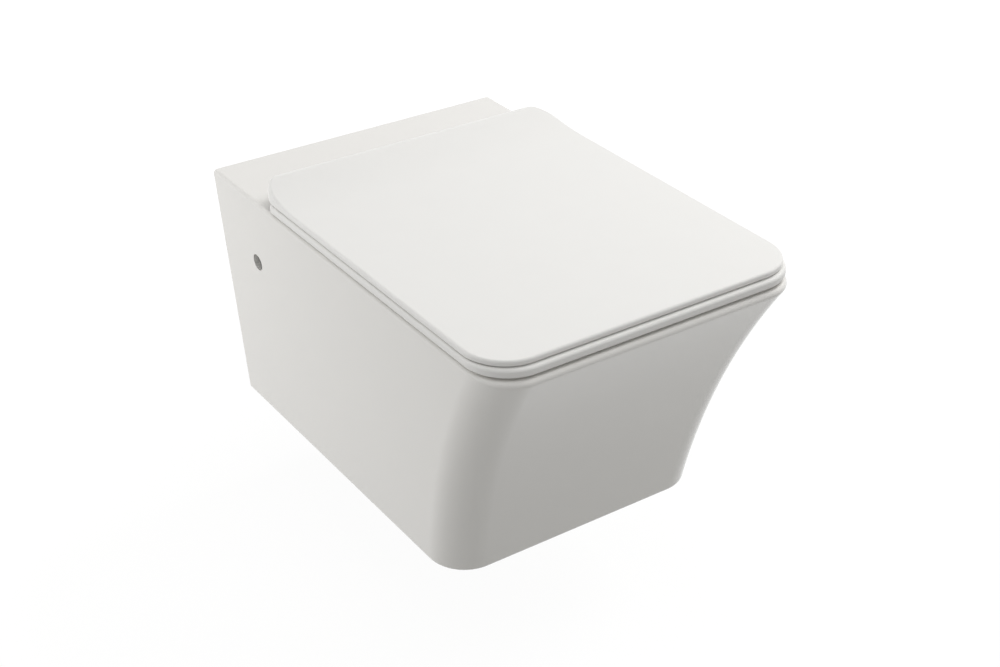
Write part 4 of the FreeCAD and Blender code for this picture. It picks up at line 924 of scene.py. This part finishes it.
def pad_tree():
    """A node group that puts a round ended, tapered pad on every point."""
    tree = bpy.data.node_groups.new("buffer_pads", "GeometryNodeTree")
    for label, kind in (("Points", "Geometry"), ("Radius", "Float"), ("Foot radius", "Float"),
                        ("Run", "Float"), ("Height", "Float"), ("Material", "Material")):
        tree.interface.new_socket(label, in_out="INPUT", socket_type="NodeSocket" + kind)
    tree.interface.new_socket("Pads", in_out="OUTPUT", socket_type="NodeSocketGeometry")
    source = add(tree, "NodeGroupInput").outputs
    cone = add(tree, "GeometryNodeMeshCone", {
        "Vertices": 40,
        "Radius Top": source["Radius"],
        "Radius Bottom": source["Foot radius"],
        "Depth": source["Height"],
    })
    position = add(tree, "GeometryNodeInputPosition")
    place = add(tree, "ShaderNodeSeparateXYZ", {"Vector": position}).outputs["Y"]
    side = add(tree, "ShaderNodeMath", {0: place}, operation="SIGN")
    shift = add(tree, "ShaderNodeMath", {0: side, 1: source["Run"]}, operation="MULTIPLY")
    offset = add(tree, "ShaderNodeCombineXYZ", {"Y": shift})
    pad = add(tree, "GeometryNodeSetPosition", {"Geometry": cone, "Offset": offset})
    pads = add(tree, "GeometryNodeInstanceOnPoints", {"Points": source["Points"], "Instance": pad})
    solid = add(tree, "GeometryNodeRealizeInstances", {"Geometry": pads})
    coated = add(tree, "GeometryNodeSetMaterial", {"Geometry": solid, "Material": source["Material"]})
    add(tree, "NodeGroupOutput", {"Pads": coated})
    return tree


def build_pads(body, places, rest, roof, radius, run):
    """A body's rubber pads, from what they rest on up to the roofs of their pockets."""
    size = bpy.context.scene.toilet_buffers
    foot = rest + size.rest
    pads = piece(body + "_buffer_pads", [(x, y, foot) for x, y in places], [])
    tree = pad_tree()
    grown = pads.modifiers.new("pads", "NODES")
    grown.node_group = tree
    values = {"Radius": radius, "Foot radius": radius - size.taper, "Run": run,
              "Height": roof - size.press - foot, "Material": slot_finish("grey_rubber")}
    for item in tree.interface.items_tree:
        if item.name in values:
            grown[item.identifier] = values[item.name]
    plain(pads)
    bpy.data.node_groups.remove(tree)
    return dress(pads, "grey_rubber", body, body + "_buffers")


def bow_points(low, high, foot_inset, crown_inset, steps=24):
    """Points (x, y) along a bow from its left foot over its crown to its right foot."""
    half = (high.x - low.x) / 2 - foot_inset
    rise = high.y - low.y - crown_inset
    radius = (half ** 2 + rise ** 2) / (2 * rise)
    spread = asin(half / radius)
    return [((low.x + high.x) / 2 + radius * sin(turn),
             low.y + crown_inset + radius * (1 - cos(turn))) for turn in even(-spread, spread, steps)]


def build_latch_spring(side):
    """The bow spring behind a latch, as a fixed bow that fills its part's box."""
    node = "latch_spring_" + side
    low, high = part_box(node)
    outline = bow_points(low, high, 0, 0) + bow_points(low, high, 2 * SPRING_LEAF, SPRING_LEAF)[::-1]
    leaf = swept("latch_bow_" + side, Z, outline, low.z, high.z, ends="ladders")
    dress(leaf, "stainless", "pan", node)
    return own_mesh(leaf)


def aimed(name, data, place, along):
    """A light or camera at a place that looks along a direction."""
    made = linked(name, data)
    made.location = place
    made.rotation_euler = along.to_track_quat("-Z", "Y").to_euler()
    return made


def light(name, place, target, width, height, watts):
    """A soft area light that faces a point and isn't seen itself."""
    lamp = bpy.data.lights.new(name, "AREA")
    lamp.shape = "RECTANGLE"
    lamp.size = width
    lamp.size_y = height
    lamp.energy = watts
    made = aimed(name, lamp, place, Vector(target) - Vector(place))
    made.visible_camera = False
    made.visible_glossy = False


def seen_rays(tree):
    """1 for what the camera sees, straight or in a reflection, and 0 for what only lights the object."""
    path = add(tree, "ShaderNodeLightPath")
    seen = path.outputs["Is Camera Ray"]
    for ray in ("Is Glossy Ray", "Is Transmission Ray"):
        seen = add(tree, "ShaderNodeMath", {0: seen, 1: path.outputs[ray]}, operation="MAXIMUM")
    return seen


def floor_finish():
    """A pale matt floor that keeps the object's shadow and fades to white away from it."""
    material = bpy.data.materials.new("floor_paint_matt_pale")
    tree = emptied(material)
    place = add(tree, "ShaderNodeTexCoord").outputs["Object"]
    away = add(tree, "ShaderNodeVectorMath", {0: place, 1: FLOOR_MIDDLE}, operation="DISTANCE")
    fade = add(tree, "ShaderNodeMapRange", {
        "Value": away.outputs["Value"],
        "From Min": SHADOW_REACH[0],
        "From Max": SHADOW_REACH[1],
        "To Min": FLOOR_GLOW,
        "To Max": 1.0,
    })
    seen = add(tree, "ShaderNodeMath", {0: seen_rays(tree), 1: fade}, operation="MULTIPLY")
    matt = add(tree, "ShaderNodeBsdfDiffuse", {"Color": linear(FLOOR_PAINT)})
    white = add(tree, "ShaderNodeEmission", {"Color": WHITE, "Strength": FLOOR_WHITE})
    mixed = add(tree, "ShaderNodeMixShader", {0: seen, 1: matt, 2: white})
    add(tree, "ShaderNodeOutputMaterial", {"Surface": mixed})
    return material


def surroundings():
    """White to the camera and in reflections, a plain soft light to everything else."""
    world = bpy.data.worlds.new("studio")
    tree = emptied(world)
    soft = add(tree, "ShaderNodeBackground", {"Color": WHITE, "Strength": SOFT_LIGHT})
    white = add(tree, "ShaderNodeBackground", {"Color": WHITE, "Strength": 1.0})
    mixed = add(tree, "ShaderNodeMixShader", {0: seen_rays(tree), 1: soft, 2: white})
    add(tree, "ShaderNodeOutputWorld", {"Surface": mixed})
    return world


class TOILET_OT_small_parts(Operator):
    """Give the hinge parts, fixings and seals their materials"""
    bl_idname = "toilet.small_parts"
    bl_label = "Hinge parts and fixings"

    def execute(self, context):
        for subpart in frame["record"]["subparts"]:
            mesh = frame["nodes"][subpart["node"]].data
            mesh.materials.clear()
            mesh.materials.append(slot_finish(subpart["material_slot"]))
        return {"FINISHED"}


class TOILET_OT_pan(Operator):
    """Build the ceramic pan"""
    bl_idname = "toilet.pan"
    bl_label = "Pan"

    def execute(self, context):
        build_pan()
        return {"FINISHED"}


class TOILET_OT_seat(Operator):
    """Build the seat ring"""
    bl_idname = "toilet.seat"
    bl_label = "Seat ring"

    def execute(self, context):
        build_seat()
        return {"FINISHED"}


class TOILET_OT_cover(Operator):
    """Build the cover"""
    bl_idname = "toilet.cover"
    bl_label = "Cover"

    def execute(self, context):
        build_cover()
        return {"FINISHED"}


class TOILET_OT_buffers(Operator):
    """Build the rubber buffers under the seat ring and the cover"""
    bl_idname = "toilet.buffers"
    bl_label = "Buffers"

    def execute(self, context):
        size = context.scene.toilet_buffers
        seat_top = SEAT_LOW.z + context.scene.toilet_seat.thickness
        cover_low = seat_top + context.scene.toilet_cover.gap
        build_pads("seat", buffer_places(SEAT_LOW, SEAT_HIGH, *SEAT_PADS), PAN_HIGH.z,
                   SEAT_LOW.z + size.seat_pocket, size.seat_radius, size.seat_run)
        build_pads("cover", buffer_places(COVER_LOW, COVER_HIGH, *COVER_PADS), seat_top,
                   cover_low + size.cover_pocket, size.cover_radius, 0.0)
        return {"FINISHED"}


class TOILET_OT_latch_springs(Operator):
    """Build the bow springs behind the latches"""
    bl_idname = "toilet.latch_springs"
    bl_label = "Latch springs"

    def execute(self, context):
        for side in ("left", "right"):
            build_latch_spring(side)
        return {"FINISHED"}


class TOILET_OT_stage(Operator):
    """Set up the floor, the light and the camera"""
    bl_idname = "toilet.stage"
    bl_label = "Stage"

    def execute(self, context):
        stage = context.scene.toilet_stage
        floor_z = PAN_HIGH.z - stage.floor_drop
        floor_low = floor_z - FLOOR_THICKNESS
        floor = block("floor", -FLOOR_HALF, FLOOR_HALF, -FLOOR_HALF, FLOOR_HALF, floor_low, floor_z)
        floor.data.materials.append(floor_finish())
        for softbox in SOFTBOXES:
            light(*softbox)
        level = cos(stage.elevation)
        view = Vector((sin(stage.azimuth) * level, cos(stage.azimuth) * level,
                       -sin(stage.elevation)))
        camera = aimed("camera", bpy.data.cameras.new("camera"), stage.camera, view)
        camera.data.lens = stage.lens
        context.scene.camera = camera
        context.scene.world = surroundings()
        context.scene.view_settings.view_transform = "Standard"
        return {"FINISHED"}


class TOILET_PT_panel(Panel):
    """Lists the pieces and their sizes"""
    bl_label = "Wall hung toilet"
    bl_idname = "TOILET_PT_panel"
    bl_space_type = "VIEW_3D"
    bl_region_type = "UI"
    bl_category = "Toilet"

    def draw(self, context):
        for operator in OPERATORS:
            self.layout.operator(operator.bl_idname)
        for group, name in GROUPS:
            box = self.layout.box()
            for entry in group.__annotations__:
                box.prop(getattr(context.scene, name), entry)


GROUPS = (
    (PanSizes, "toilet_pan"),
    (SeatSizes, "toilet_seat"),
    (CoverSizes, "toilet_cover"),
    (BufferSizes, "toilet_buffers"),
    (FinishColours, "toilet_finishes"),
    (StageSizes, "toilet_stage"),
)
OPERATORS = (
    TOILET_OT_small_parts,
    TOILET_OT_pan,
    TOILET_OT_seat,
    TOILET_OT_cover,
    TOILET_OT_buffers,
    TOILET_OT_latch_springs,
    TOILET_OT_stage,
)


def register():
    for group, name in GROUPS:
        bpy.utils.register_class(group)
        setattr(bpy.types.Scene, name, PointerProperty(type=group))
    for entry in OPERATORS + (TOILET_PT_panel,):
        bpy.utils.register_class(entry)


def unregister():
    for entry in reversed(OPERATORS + (TOILET_PT_panel,)):
        bpy.utils.unregister_class(entry)
    for group, name in reversed(GROUPS):
        delattr(bpy.types.Scene, name)
        bpy.utils.unregister_class(group)


def main():
    """Registers the classes and builds every piece and the stage."""
    register()
    bpy.ops.toilet.small_parts()
    bpy.ops.toilet.pan()
    bpy.ops.toilet.seat()
    bpy.ops.toilet.cover()
    bpy.ops.toilet.buffers()
    bpy.ops.toilet.latch_springs()
    bpy.ops.toilet.stage()


if __name__ == "__main__":
    main()
